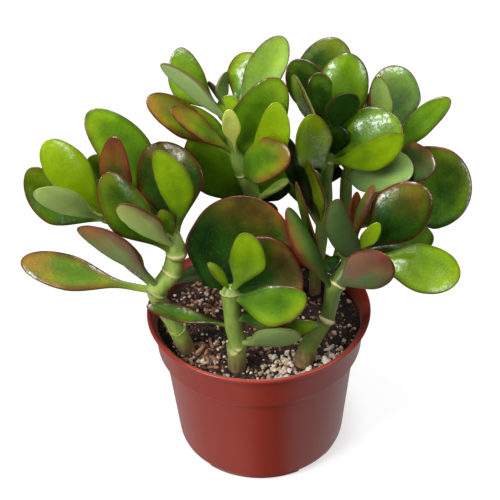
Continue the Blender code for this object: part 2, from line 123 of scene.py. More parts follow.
class Value:
    """A shader socket on which Python sums add Math nodes."""

    def __init__(self, recipe: "Recipe", socket: bpy.types.NodeSocket) -> None:
        """Keep the socket, and the recipe that adds the nodes."""
        self.recipe = recipe
        self.socket = socket

    def __add__(self, other: Number) -> "Value":
        """Add."""
        return self.recipe.sum("ADD", self, other)

    def __radd__(self, other: Number) -> "Value":
        """Add to a plain number."""
        return self.recipe.sum("ADD", other, self)

    def __sub__(self, other: Number) -> "Value":
        """Subtract."""
        return self.recipe.sum("SUBTRACT", self, other)

    def __rsub__(self, other: Number) -> "Value":
        """Subtract from a plain number."""
        return self.recipe.sum("SUBTRACT", other, self)

    def __mul__(self, other: Number) -> "Value":
        """Multiply."""
        return self.recipe.sum("MULTIPLY", self, other)

    def __rmul__(self, other: Number) -> "Value":
        """Multiply a plain number."""
        return self.recipe.sum("MULTIPLY", other, self)

    def __truediv__(self, other: Number) -> "Value":
        """Divide."""
        return self.recipe.sum("DIVIDE", self, other)

    def __pow__(self, other: Number) -> "Value":
        """Raise to a power."""
        return self.recipe.sum("POWER", self, other)

    def most(self, other: Number) -> "Value":
        """Take the larger of the two."""
        return self.recipe.sum("MAXIMUM", self, other)

    def rise(self, low: float, high: float) -> "Value":
        """Rise softly from 0 at low to 1 at high, or fall where low is the higher.

        Args:
            low: The value that gives 0.
            high: The value that gives 1.

        Returns:
            The risen value.
        """
        settings = {"interpolation_type": "SMOOTHSTEP", "clamp": True}
        low_out, high_out = (0.0, 1.0) if low < high else (1.0, 0.0)
        inputs = {0: self, 1: min(low, high), 2: max(low, high), 3: low_out, 4: high_out}
        return self.recipe.node("ShaderNodeMapRange", settings, inputs)


class Recipe:
    """A material's nodes, with short ways to add them."""

    def __init__(self, name: str) -> None:
        """Start a material with its Principled shader.

        Args:
            name: The material's name.
        """
        self.material = bpy.data.materials.new(name)
        self.material.use_nodes = True
        self.tree = self.material.node_tree
        self.shader = self.tree.nodes["Principled BSDF"]

    def feed(self, socket: bpy.types.NodeSocket, value: object) -> None:
        """Link a value to a socket, or set it where it is a number or colour.

        Args:
            socket: The socket that takes it.
            value: A Value, a number, a colour or a vector.
        """
        if isinstance(value, Value):
            self.tree.links.new(value.socket, socket)
        elif socket.type == "RGBA" and isinstance(value, tuple):
            socket.default_value = (*value, 1.0)
        else:
            socket.default_value = value

    def node(
        self,
        kind: str,
        settings: Optional[dict[str, object]] = None,
        inputs: Optional[dict[Union[str, int], object]] = None,
        output: Union[str, int] = 0,
        stops: Iterable[tuple[float, Triple]] = (),
    ) -> Value:
        """Add a node.

        Args:
            kind: The node's type.
            settings: Its settings, by name.
            inputs: What its sockets take, by name or number.
            output: Which of its outputs is wanted.
            stops: A colour ramp's places and colours.

        Returns:
            The wanted output.
        """
        made = self.tree.nodes.new(kind)
        for name, setting in (settings or {}).items():
            setattr(made, name, setting)
        for number, (place, colour) in enumerate(stops):
            band = made.color_ramp.elements
            stop = band[number] if number < 2 else band.new(place)
            stop.position = place
            stop.color = (*colour, 1.0)
        for name, value in (inputs or {}).items():
            self.feed(made.inputs[name], value)
        return Value(self, made.outputs[output])

    def sum(self, operation: str, first: Number, second: Number) -> Value:
        """Add a Math node.

        Args:
            operation: The node's operation.
            first: Its first number.
            second: Its second number.

        Returns:
            The result.
        """
        return self.node("ShaderNodeMath", {"operation": operation}, {0: first, 1: second})

    def place(self) -> Value:
        """Give the object's own coordinates, in metres."""
        return self.node("ShaderNodeTexCoord", output="Object")

    def layer(self, name: str) -> Value:
        """Read a float attribute of the mesh."""
        return self.node("ShaderNodeAttribute", {"attribute_name": name}, output="Fac")

    def stretched(self, place: Value, height: float) -> Value:
        """Give coordinates in which a pattern stands tall for a height below 1, and flat above 1."""
        return self.node("ShaderNodeMapping", inputs={"Vector": place, "Scale": (1.0, 1.0, height)})

    def clouds(self, place: Value, size: float, detail: float = 2.0, rough: float = 0.5) -> Value:
        """Add noise.

        Args:
            place: Where it is read.
            size: The size of its clouds in millimetres.
            detail: How many finer layers it has.
            rough: How strong the finer layers are.

        Returns:
            The noise, with a mean of about 0.5.
        """
        inputs = {"Vector": place, "Scale": 1 / (size * MM), "Detail": detail, "Roughness": rough}
        return self.node("ShaderNodeTexNoise", inputs=inputs)

    def cells(self, place: Value, size: float, feature: str = "F1") -> Value:
        """Add Voronoi cells.

        Args:
            place: Where they are read.
            size: The size of a cell in millimetres.
            feature: The texture's feature.

        Returns:
            The distance that the feature measures.
        """
        inputs = {"Vector": place, "Scale": 1 / (size * MM)}
        return self.node("ShaderNodeTexVoronoi", {"feature": feature}, inputs, "Distance")

    def ramp(self, value: Value, *stops: tuple[float, Triple]) -> Value:
        """Colour a value by a ramp."""
        return self.node("ShaderNodeValToRGB", inputs={0: value}, stops=stops)

    def mix(self, share: Number, first: object, second: object, blend: str = "MIX") -> Value:
        """Blend two colours.

        Args:
            share: How much of the second is taken.
            first: The first colour.
            second: The second colour.
            blend: How they are blended.

        Returns:
            The blended colour.
        """
        settings = {"data_type": "RGBA", "blend_type": blend, "clamp_factor": True}
        return self.node("ShaderNodeMix", settings, {0: share, 6: first, 7: second}, 2)

    def relief(self, height: Value, depth: float, under: Optional[Value] = None) -> Value:
        """Add a bump.

        Args:
            height: Its height, 0 to 1.
            depth: What a height of 1 is in millimetres.
            under: A bump that it lies on.

        Returns:
            The bumped normal.
        """
        inputs: dict[Union[str, int], object] = {"Height": height, "Distance": depth * MM, "Strength": 1.0}
        if under:
            inputs["Normal"] = under
        return self.node("ShaderNodeBump", inputs=inputs)

    def finish(self, **inputs: object) -> bpy.types.Material:
        """Feed the Principled shader by its sockets' names, with _ for a space.

        Args:
            inputs: What each socket takes.

        Returns:
            The material.
        """
        for name, value in inputs.items():
            self.feed(self.shader.inputs[name.replace("_", " ")], value)
        return self.material


@dataclass(frozen=True)
class Shade:
    """A leaf's tone from dark to bright, and how red its rim, how blushed and how bloomy it is."""

    tone: float
    rim: float
    blush: float
    bloom: float


class Skin(Enum):
    """The looks that leaves of a jade plant have, by age and sun; SHADED is painted shade."""

    BRIGHT = Shade(0.95, 0.30, 0.05, 0.0)
    FRESH = Shade(0.76, 0.60, 0.08, 0.0)
    GREEN = Shade(0.54, 0.75, 0.12, 0.0)
    DEEP = Shade(0.24, 0.85, 0.15, 0.0)
    # Painted shade: near black green for leaves that lie deep in the plant's shadow
    SHADED = Shade(0.02, 0.30, 0.00, 0.0)
    OLIVE = Shade(0.36, 0.90, 0.30, 0.0)
    BRONZE = Shade(0.20, 1.00, 0.62, 0.0)
    VEILED = Shade(0.08, 1.00, 0.30, 0.15)
    DARK_TIP = Shade(0.18, 1.00, 0.88, 0.05)
    EDGED = Shade(0.85, 1.00, 0.32, 0.0)
    MAUVE = Shade(0.08, 1.00, 0.93, 0.42)
    MOSSY = Shade(0.20, 1.00, 0.42, 0.0)
    DUSKY = Shade(0.20, 0.80, 0.10, 0.2)
    SAGE = Shade(0.42, 0.80, 0.10, 0.20)
    FROSTED = Shade(0.72, 0.85, 0.10, 0.6)
    SATIN = Shade(0.68, 0.85, 0.10, 0.25)
    SILVER = Shade(0.50, 0.85, 0.05, 0.9)
    RED_TIP = Shade(0.60, 0.90, 0.74, 0.05)
    GREY = Shade(0.46, 0.50, 0.05, 0.6)
    GREY_RED = Shade(0.36, 1.00, 0.78, 0.5)
    PALE = Shade(1.00, 0.40, 0.05, 0.5)
    PALE_RED = Shade(1.05, 1.00, 0.45, 0.5)
    RUSTY = Shade(0.30, 1.00, 0.92, 0.0)
    BUD = Shade(1.45, 0.15, 0.00, 0.0)


@dataclass(frozen=True)
class LeafSkin:
    """Waxy skin of a jade leaf: green by tone, red rim and blush, paler (partly painted sheen) and duller
    below.
    """

    darkest: Triple = linear(8, 30, 6)
    deep: Triple = linear(30, 66, 4)
    middle: Triple = linear(78, 116, 4)
    bright: Triple = linear(128, 160, 6)
    pale: Triple = linear(205, 215, 100)
    stalk: Triple = linear(148, 168, 60)
    # The underside's own paler green, lifted further by a painted sheen
    underside: Triple = linear(172, 198, 106)
    bloom: Triple = linear(158, 182, 122)
    red: Triple = linear(146, 62, 26)
    maroon: Triple = linear(88, 26, 22)
    mauve: Triple = linear(140, 118, 108)
    rim: Triple = linear(88, 36, 16)
    patch_size: float = 14.0
    grain_size: float = 1.1
    speck_size: float = 1.5
    pore_size: float = 0.75
    pore_depth: float = 0.06
    pucker_size: float = 1.5
    pucker_depth: float = 0.10
    swell_size: float = 9.0
    swell_depth: float = 0.2
    dapple_size: float = 1.7
    roughness: float = 0.30
    specular: float = 0.25
    coat_roughness: float = 0.18
    glow_through: float = 0.10
    glow_reach: float = 2.0
    glow_colour: Triple = (0.35, 1.0, 0.15)

    def greens(self, recipe: Recipe, patches: Value, grain: Value, below: Value) -> Value:
        """Colour the green parts by tone, which holds painted light and shade, with a pale stalk, a dull
        underside and the bloom.

        Args:
            recipe: The material's recipe.
            patches: Broad patches of tone.
            grain: Fine unevenness of tone.
            below: How much a place is on the underside.

        Returns:
            The greens.
        """
        along, edge = recipe.layer("along"), recipe.layer("edge")
        tone = recipe.layer("tone") + (patches - 0.5) * 0.55 + (grain - 0.5) * 0.18
        # Painted light and shade: a brighter band just inside the rim, and a tone that is darker towards
        # the stem and brighter towards the tip
        inner = edge.rise(1.0, 3.0) * edge.rise(9.0, 3.5)
        tone = tone + (along - 0.6) * 0.26 + inner * 0.12
        greens = recipe.ramp(
            tone, (0.0, self.darkest), (1.0, self.bright), (0.3, self.deep), (0.62, self.middle)
        )
        greens = recipe.mix(tone.rise(1.15, 1.45), greens, self.pale)
        greens = recipe.mix(recipe.layer("stalk") * 0.85, greens, self.stalk)
        dull = recipe.mix(recipe.layer("tone").rise(-0.1, 1.0) ** 1.5, self.deep, self.underside)
        bloom = recipe.layer("bloom")
        greens = recipe.mix(below * (0.50 + bloom * 0.35), greens, dull)
        greens = recipe.mix(bloom * (0.35 + grain * 0.30), greens, self.bloom)
        specks = recipe.cells(recipe.place(), self.speck_size).rise(0.34, 0.12)
        return recipe.mix(specks * (1 - below) * 0.03, greens, self.pale)

    def reddened(self, recipe: Recipe, greens: Value, patches: Value, grain: Value) -> Value:
        """Lay the blush and the dark red rim over the greens.

        Args:
            recipe: The material's recipe.
            greens: The green skin.
            patches: Broad patches of tone.
            grain: Fine unevenness of tone.

        Returns:
            The whole skin's colour.
        """
        along, edge = recipe.layer("along"), recipe.layer("edge")
        blush = recipe.layer("blush")
        ragged = edge + (grain - 0.5) * 0.7 + (patches - 0.5) * 1.6
        reach = along.rise(0.15, 0.5)
        wide = (ragged / (blush * 8.0 + 0.6)).rise(1.0, 0.0) * blush * 0.9
        tipped = (along + (patches - 0.5) * 0.2).rise(0.55, 1.0) * blush ** 1.5
        whole = blush.rise(0.85, 1.0) * 0.8
        warmth = wide.most(tipped).most(whole) * reach
        reds = recipe.mix(patches.rise(0.35, 0.65), self.maroon, self.red)
        reds = recipe.mix(blush.rise(0.8, 1.0) * 0.7, reds, self.maroon)
        reds = recipe.mix(recipe.layer("bloom") * (1 - along) * 1.6, reds, self.mauve)
        skin = recipe.mix(warmth, greens, reds)
        rim = (ragged * 0.35 + edge * 0.65).rise(1.0, 0.2) * recipe.layer("rim") * reach
        return recipe.mix(rim * 0.9, skin, self.rim)

    def bumps(self, recipe: Recipe) -> Value:
        """Roughen the skin by pores, small puckers and broad swells.

        Args:
            recipe: The material's recipe.

        Returns:
            The bumped normal.
        """
        place = recipe.place()
        pores = recipe.clouds(place, self.pore_size, 2.0, 0.7)
        puckers = recipe.cells(place, self.pucker_size, "SMOOTH_F1")
        swells = recipe.clouds(place, self.swell_size, 1.0)
        bumps = recipe.relief(puckers, self.pucker_depth, recipe.relief(pores, self.pore_depth))
        return recipe.relief(swells, self.swell_depth, bumps)

    def made(self) -> bpy.types.Material:
        """Make the material."""
        recipe = Recipe("jade leaf skin")
        place = recipe.place()
        patches = recipe.clouds(place, self.patch_size, 3.0)
        grain = recipe.clouds(place, self.grain_size, 3.0, 0.6)
        below = recipe.layer("upper").rise(0.05, -0.25)
        bloom = recipe.layer("bloom")
        greens = self.greens(recipe, patches, grain, below)
        rough = self.roughness + below * 0.18 + bloom * 0.24 + (grain - 0.5) * 0.12
        dapple = recipe.clouds(place, self.dapple_size, 1.0, 0.5).rise(0.47, 0.55)
        gloss = (1 - below) * (1 - bloom) * (0.06 + dapple * 0.80)
        return recipe.finish(
            Base_Color=self.reddened(recipe, greens, patches, grain), Roughness=rough,
            Normal=self.bumps(recipe), Specular_IOR_Level=self.specular, Coat_Weight=gloss,
            Coat_Roughness=self.coat_roughness, Subsurface_Weight=self.glow_through,
            Subsurface_Radius=self.glow_colour, Subsurface_Scale=self.glow_reach * MM,
        )


@dataclass(frozen=True)
class StemBark:
    """Fleshy stem: pale green with tan leaf scars, browner and woodier near the mix, darker by painted
    shade.
    """

    green: Triple = linear(154, 176, 82)
    shade: Triple = linear(108, 138, 50)
    dusk: Triple = linear(52, 80, 22)
    scar: Triple = linear(206, 190, 136)
    cork: Triple = linear(150, 124, 82)
    brown: Triple = linear(104, 76, 48)
    streak_size: float = 2.2
    streak_height: float = 0.22
    streak_depth: float = 0.25
    patch_size: float = 9.0
    pore_size: float = 0.8
    pore_depth: float = 0.08
    roughness: float = 0.40
    glow_through: float = 0.15
    glow_reach: float = 3.0
    glow_colour: Triple = (0.4, 1.0, 0.2)

    def made(self) -> bpy.types.Material:
        """Make the material."""
        recipe = Recipe("jade stem bark")
        place = recipe.place()
        tall = recipe.stretched(place, self.streak_height)
        streaks = recipe.clouds(tall, self.streak_size, 4.0, 0.6)
        patches = recipe.clouds(place, self.patch_size, 3.0)
        shaded = streaks.rise(0.35, 0.65) * 0.6 + (patches - 0.5) * 0.6
        flesh = recipe.mix(shaded, self.green, self.shade)
        # Painted shade: the stem's dusk, read as its tone, darkens its green
        flesh = recipe.mix(recipe.layer("tone") + (patches - 0.5) * 0.3, flesh, self.dusk)
        wood = (recipe.layer("wood") + (streaks - 0.5) * 0.7).rise(0.35, 0.9)
        cork = recipe.mix(streaks.rise(0.4, 0.6), self.brown, self.cork)
        skin = recipe.mix(wood * 0.85, flesh, cork)
        scar = recipe.layer("scar")
        skin = recipe.mix((scar + (streaks - 0.5) * 0.3).rise(0.35, 0.8), skin, self.scar)
        pores = recipe.clouds(place, self.pore_size, 2.0)
        bumps = recipe.relief(pores, self.pore_depth, recipe.relief(streaks, self.streak_depth))
        rough = self.roughness + wood * 0.25 + (patches - 0.5) * 0.15
        return recipe.finish(
            Base_Color=skin, Roughness=rough, Normal=bumps, Subsurface_Weight=self.glow_through,
            Subsurface_Radius=self.glow_colour, Subsurface_Scale=self.glow_reach * MM,
        )


@dataclass(frozen=True)
class PotPlastic:
    """Moulded terracotta-coloured plastic with a soft gloss, faint flow marks and handling scuffs."""

    body: Triple = linear(150, 46, 27)
    deep: Triple = linear(132, 38, 24)
    worn: Triple = linear(196, 104, 78)
    flow_size: float = 38.0
    flow_height: float = 0.35
    flow_depth: float = 0.5
    grain_size: float = 0.6
    grain_depth: float = 0.02
    scuff_size: float = 5.0
    scuff_height: float = 6.0
    roughness: float = 0.34
    sheen: float = 0.10
    sheen_roughness: float = 0.4

    def made(self) -> bpy.types.Material:
        """Make the material."""
        recipe = Recipe("terracotta plastic")
        place = recipe.place()
        flow = recipe.clouds(recipe.stretched(place, self.flow_height), self.flow_size, 2.0)
        grain = recipe.clouds(place, self.grain_size, 2.0)
        flat = recipe.stretched(place, self.scuff_height)
        scuffs = recipe.clouds(flat, self.scuff_size, 5.0, 0.7).rise(0.62, 0.78)
        skin = recipe.mix(flow.rise(0.3, 0.7) * 0.7, self.body, self.deep)
        skin = recipe.mix(scuffs * 0.18, skin, self.worn)
        bumps = recipe.relief(flow, self.flow_depth, recipe.relief(grain, self.grain_depth))
        rough = self.roughness + (flow - 0.5) * 0.12 + scuffs * 0.15
        return recipe.finish(
            Base_Color=skin, Roughness=rough, Normal=bumps, Sheen_Weight=self.sheen,
            Sheen_Roughness=self.sheen_roughness,
        )


@dataclass(frozen=True)
class Peat:
    """Dark, moist, crumbly peat, with brown fibre in it."""

    black: Triple = linear(26, 20, 17)
    brown: Triple = linear(74, 50, 38)
    fibre: Triple = linear(140, 100, 78)
    crumb_size: float = 2.0
    crumb_depth: float = 0.9
    patch_size: float = 16.0
    fibre_size: float = 0.8
    roughness: float = 0.88

    def made(self) -> bpy.types.Material:
        """Make the material."""
        recipe = Recipe("peat")
        place = recipe.place()
        crumbs = recipe.clouds(place, self.crumb_size, 4.0, 0.7)
        patches = recipe.clouds(place, self.patch_size, 2.0)
        fibre = recipe.clouds(place, self.fibre_size, 2.0).rise(0.6, 0.72)
        fibre = fibre * patches.rise(0.45, 0.6)
        skin = recipe.mix((crumbs + (patches - 0.5) * 0.5).rise(0.45, 0.7), self.black, self.brown)
        skin = recipe.mix(fibre * 0.7, skin, self.fibre)
        skin = recipe.mix(recipe.layer("tint"), skin, self.fibre)
        bumps = recipe.relief(crumbs, self.crumb_depth)
        return recipe.finish(Base_Color=skin, Roughness=self.roughness, Normal=bumps)


@dataclass(frozen=True)
class Grit:
    """Perlite and pumice: porous white, cream, tan and grey grains, dusted with peat."""

    grey: Triple = linear(128, 120, 112)
    tan: Triple = linear(190, 152, 122)
    cream: Triple = linear(228, 208, 178)
    white: Triple = linear(244, 238, 226)
    dust: Triple = linear(84, 62, 48)
    pore_size: float = 0.7
    pore_depth: float = 0.35
    roughness: float = 0.8

    def made(self) -> bpy.types.Material:
        """Make the material."""
        recipe = Recipe("perlite")
        pores = recipe.clouds(recipe.place(), self.pore_size, 3.0, 0.65)
        tint = recipe.layer("tint") + (pores - 0.5) * 0.25
        skin = recipe.ramp(
            tint, (0.0, self.grey), (1.0, self.white), (0.35, self.tan), (0.65, self.cream)
        )
        skin = recipe.mix(pores.rise(0.56, 0.72) * 0.55, skin, self.dust)
        bumps = recipe.relief(pores, self.pore_depth)
        return recipe.finish(Base_Color=skin, Roughness=self.roughness, Normal=bumps)


@dataclass(frozen=True)
class Bark:
    """Chips and fibres of composted bark, tan to dark brown."""

    dark: Triple = linear(62, 40, 30)
    brown: Triple = linear(128, 84, 62)
    tan: Triple = linear(186, 138, 106)
    fibre_size: float = 0.9
    fibre_depth: float = 0.4
    roughness: float = 0.82

    def made(self) -> bpy.types.Material:
        """Make the material."""
        recipe = Recipe("bark")
        fibres = recipe.clouds(recipe.place(), self.fibre_size, 4.0, 0.65)
        tint = recipe.layer("tint") + (fibres - 0.5) * 0.5
        skin = recipe.ramp(tint, (0.0, self.dark), (1.0, self.tan), (0.5, self.brown))
        bumps = recipe.relief(fibres, self.fibre_depth)
        return recipe.finish(Base_Color=skin, Roughness=self.roughness, Normal=bumps)


@dataclass(frozen=True)
class FloorPaint:
    """Pale floor that reads as white, with a soft shadow close to the pot's foot only.

    It glows more and takes less light away from the foot, so the shadow fades out between the
    foot's reach and the place that is clear of the foot, both measured from the pot's axis.
    """

    paint: Triple = (0.12, 0.12, 0.12)
    glow: Triple = (0.93, 0.93, 0.93)
    foot_paint: Triple = (0.55, 0.55, 0.55)
    foot_glow: Triple = (0.60, 0.60, 0.60)
    foot_reach: float = 42.0
    clear_of_foot: float = 64.0
    roughness: float = 0.9
    specular: float = 0.1

    def made(self) -> bpy.types.Material:
        """Make the material."""
        recipe = Recipe("pale floor")
        place = recipe.place()
        away = recipe.node("ShaderNodeVectorMath", {"operation": "LENGTH"}, {0: place}, "Value")
        near = away.rise(self.clear_of_foot * MM, self.foot_reach * MM)
        return recipe.finish(
            Base_Color=recipe.mix(near, self.paint, self.foot_paint), Roughness=self.roughness,
            Specular_IOR_Level=self.specular, Emission_Strength=1.0,
            Emission_Color=recipe.mix(near, self.glow, self.foot_glow),
        )


def finished(name: str, bm: bmesh.types.BMesh, *finishes: bpy.types.Material) -> bpy.types.Object:
    """Turn a bmesh in millimetres into a smooth object in metres.

    Args:
        name: The object's name.
        bm: The bmesh, which is used up.
        finishes: Its materials, in the order of its faces' material numbers.

    Returns:
        The object.
    """
    bmesh.ops.scale(bm, vec=(MM, MM, MM), verts=bm.verts)
    for face in bm.faces:
        face.smooth = True
    mesh = bpy.data.meshes.new(name)
    bm.to_mesh(mesh)
    bm.free()
    for finish in finishes:
        mesh.materials.append(finish)
    thing = bpy.data.objects.new(name, mesh)
    bpy.context.scene.collection.objects.link(thing)
    return thing


def standing_for(thing: bpy.types.Object, node: str) -> bpy.types.Object:
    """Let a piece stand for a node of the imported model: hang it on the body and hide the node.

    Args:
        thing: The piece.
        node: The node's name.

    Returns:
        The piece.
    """
    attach(thing, BODY)
    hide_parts(node)
    LOG.info("%s: %d faces, in place of %s", thing.name, len(thing.data.polygons), node)
    return thing


# The leaves of all six stems share one form: a narrow stalk that widens to a blunt paddle
BLADE_WIDEST = 0.55
STALK_SHARE = 0.2
TIP_BLUNTNESS = 2.1
LEAST_THICKNESS = 2.0
THICKNESS_PER_WIDTH = 0.07
END_THICKNESS = 0.78
END_BLUNTNESS = 5
UPPER_SHARE = 0.42
MARGIN_FULLNESS = 0.80
LEAF_SIDES = 44
LEAF_RINGS = 36

# A leaf's stalk is pale to a little past its neck. It is palest up to one half width and no
# longer pale past another.
PALE_STALK = 0.14
PALE_WHOLE = 2.0
PALE_GONE = 5.0
# Painted light: how much a leaf's sunny side is painted brighter, on top of its redder blush
SUN_ON_TONE = 0.35

# A leaf's unevenness: its edge waves by a share of its half width, its faces swell by a share
# of its width, and they pucker by a part of a millimetre. Faces stay calm near the root.
WAVE_SHARE = 0.035
WAVES = 3.0
WAVE_OFFSET = 0.7
SWELL_SHARE = 0.016
SWELLS = 2.2
SWELL_SIZE = 14.0
PUCKER = 0.14
PUCKER_SIZE = 5.0
CALM_UNTIL = 0.05
UNEVEN_FROM = 0.4
SLOPE_STEP = 0.01

# A stem is swollen at each leaf scar, with a crease above and below, and slightly uneven
STEM_SIDES = 26
STEM_RING_STEP = 0.8
LEAST_STEM_RINGS = 24
SCAR_SWELLING = 0.30
SCAR_REACH = 0.75
CREASE_DEPTH = 0.22
CREASE_PLACE = 1.7
CREASE_REACH = 0.7
STEM_UNEVENNESS = 0.16
STEM_SWELLS = 1.3
STEM_SWELL_LENGTH = 7
LINE_STEPS = 40
WAY_STEP = 0.05

# A stem is woody up to a little below the mix's top, and all green from a height above it
WOOD_SUNK = 2.0
GREEN_FROM = 24.0

NEARLY_NOTHING = 1e-6


def half_width(share: float, neck: float) -> float:
    """Give a leaf's half width, with 1 at its widest.

    Args:
        share: The place along the leaf, 0 at its root.
        neck: The share of its length that is a narrow stalk.

    Returns:
        The half width there.
    """
    widest = neck + BLADE_WIDEST * (1 - neck)
    width = STALK_SHARE + (1 - STALK_SHARE) * smooth(neck, widest, share)
    if share <= widest:
        return width
    past = (share - widest) / (1 - widest)
    return width * math.sqrt(max(0.0, 1 - past ** TIP_BLUNTNESS))


def half_thickness(share: float) -> float:
    """Give a leaf's half thickness along its length, with about 1 at its middle."""
    thickness = END_THICKNESS + (1 - END_THICKNESS) * math.sin(math.pi * share)
    return thickness * math.sqrt(max(0.0, 1 - abs(2 * share - 1) ** END_BLUNTNESS))


def bell(distance: float, reach: float) -> float:
    """Give a soft bump of height 1 that is nearly flat at twice its reach."""
    return math.exp(-((distance / reach) ** 2))


class PlantMesh:
    """A plant's growing mesh, with the float layers that its two materials read."""

    LAYERS = ("along", "edge", "upper", "stalk", "tone", "rim", "blush", "bloom", "scar", "wood")

    def __init__(self) -> None:
        """Start an empty mesh with its layers."""
        self.bm = bmesh.new()
        self.layers = {name: self.bm.verts.layers.float.new(name) for name in self.LAYERS}
        self.balls: dict[tuple[int, int], bpy.types.Mesh] = {}

    def ball(self, sides: int, rings: int, material: int) -> list[bmesh.types.BMVert]:
        """Add a unit ball, to be shaped.

        Args:
            sides: Its sides about the Z axis.
            rings: Its rings from pole to pole.
            material: The number of its material.

        Returns:
            Its vertices.
        """
        if (sides, rings) not in self.balls:
            bm = bmesh.new()
            bmesh.ops.create_uvsphere(bm, u_segments=sides, v_segments=rings, radius=1.0)
            self.balls[sides, rings] = bpy.data.meshes.new("ball")
            bm.to_mesh(self.balls[sides, rings])
            bm.free()
        corners, faces = len(self.bm.verts), len(self.bm.faces)
        self.bm.from_mesh(self.balls[sides, rings])
        self.bm.verts.ensure_lookup_table()
        self.bm.faces.ensure_lookup_table()
        for face in self.bm.faces[faces:]:
            face.material_index = material
        return self.bm.verts[corners:]

    def write(self, corner: bmesh.types.BMVert, **values: float) -> None:
        """Write a vertex's values, by the layers' names."""
        for name, value in values.items():
            corner[self.layers[name]] = value

    def done(self, name: str, *finishes: bpy.types.Material) -> bpy.types.Object:
        """Turn the mesh into an object, and drop the balls that it was made from."""
        for ball in self.balls.values():
            bpy.data.meshes.remove(ball)
        return finished(name, self.bm, *finishes)


@dataclass(frozen=True)
class Leaf:
    """One leaf: where it leaves its branch, its tip, its form and its skin.

    The station is a point number of the branch with a share of the way to the next. The face is
    the way the upper side looks, bow is how far the middle stands above the line from root to
    tip, cup how far the edges rise above the middle, and neck the share of the length that is
    stalk. Seen from that face with the tip up, sweep is how far the middle stands off to the
    left, and sunny how much redder, in the leaf's own colour, and brighter, in painted light, the
    left edge is than the middle line, and how much less so the right edge.
    """

    station: float
    tip: Triple
    width: float
    face: Triple
    bow: float
    cup: float
    neck: float
    sweep: float = 0.0
    skin: Skin = Skin.GREEN
    sunny: float = 0.0

    def unevenness(self, along: float, across: float, share: float, seed: float) -> float:
        """Give how far the leaf's faces swell and pucker up from their smooth form.

        Args:
            along: The distance from the root in millimetres.
            across: The distance from the middle line in millimetres.
            share: The place along the leaf, 0 at its root.
            seed: The leaf's own number.

        Returns:
            The lift there.
        """
        swell = ripple(SWELLS * share + seed, across / SWELL_SIZE, 3.1 * seed)
        pucker = ripple(along / PUCKER_SIZE + seed, across / PUCKER_SIZE, 1.7 * seed)
        rough = SWELL_SHARE * self.width * swell + PUCKER * pucker
        return rough * smooth(CALM_UNTIL, UNEVEN_FROM, share)

    def slope(self, share: float, length: float) -> float:
        """Give how fast the leaf's edge runs outwards.

        Args:
            share: The place along the leaf, 0 at its root.
            length: The leaf's length.

        Returns:
            The half width gained per length.
        """
        ahead = half_width(min(share + SLOPE_STEP, 1.0), self.neck)
        wider = (ahead - half_width(share, self.neck)) * self.width / 2
        return wider / (SLOPE_STEP * length)

    def paint(
        self, plant: PlantMesh, corner: bmesh.types.BMVert, share: float, half: float, full: float
    ) -> None:
        """Write what the leaf skin reads of a vertex by its place alone.

        Args:
            plant: The plant's mesh.
            corner: The vertex.
            share: Its place along the leaf, 0 at its root.
            half: The leaf's half width there.
            full: Its place across the leaf, -1 and 1 at the edges.
        """
        shade = self.skin.value
        # Painted light: the sunny side's tone is raised, besides its real redder blush
        sun = self.sunny * full * min(half * 2 / self.width, 1.0)
        pale_end = max(self.neck, 0.0) + PALE_STALK
        plant.write(
            corner, along=share, rim=shade.rim, bloom=shade.bloom,
            tone=shade.tone + SUN_ON_TONE * sun, blush=min(max(shade.blush + sun, 0.0), 1.0),
            stalk=(1 - smooth(0.0, pale_end, share)) * (1 - smooth(PALE_WHOLE, PALE_GONE, half)),
        )

    def build(self, plant: PlantMesh, root: Vector, seed: float) -> None:
        """Add the leaf to a plant.

        Args:
            plant: The plant's mesh.
            root: Where the leaf is rooted in its stem.
            seed: A number of its own, for its small unevenness.
        """
        way = Vector(self.tip) - root
        length = way.length
        way.normalize()
        up = Vector(self.face)
        up = (up - up.dot(way) * way).normalized()
        side = up.cross(way)
        thickness = LEAST_THICKNESS + THICKNESS_PER_WIDTH * self.width
        for corner in plant.ball(LEAF_SIDES, LEAF_RINGS, 0):
            share = (corner.co.z + 1) / 2
            ring = math.hypot(corner.co.x, corner.co.y)
            across = corner.co.x / ring if ring > NEARLY_NOTHING else 0.0
            through = corner.co.y / ring if ring > NEARLY_NOTHING else 0.0
            full = math.copysign(abs(across) ** MARGIN_FULLNESS, across)
            thick = math.copysign(abs(through) ** MARGIN_FULLNESS, through)
            half = half_width(share, self.neck) * self.width / 2
            wave = ripple(WAVES * share + seed, math.copysign(WAVE_OFFSET, across), seed)
            reach = full * half * (1 + WAVE_SHARE * wave)
            lift = thick * half_thickness(share) * thickness
            lift *= UPPER_SHARE if thick > 0 else 1 - UPPER_SHARE
            lift += self.bow * arch(share) + self.cup * (2 * reach / self.width) ** 2
            lift += self.unevenness(share * length, reach, share, seed)
            aside = reach + self.sweep * arch(share)
            corner.co = root + way * length * share + side * aside + up * lift
            gap = half * (1 - abs(full)) / math.hypot(1, self.slope(share, length))
            plant.write(corner, edge=gap, upper=through)
            self.paint(plant, corner, share, half, full)


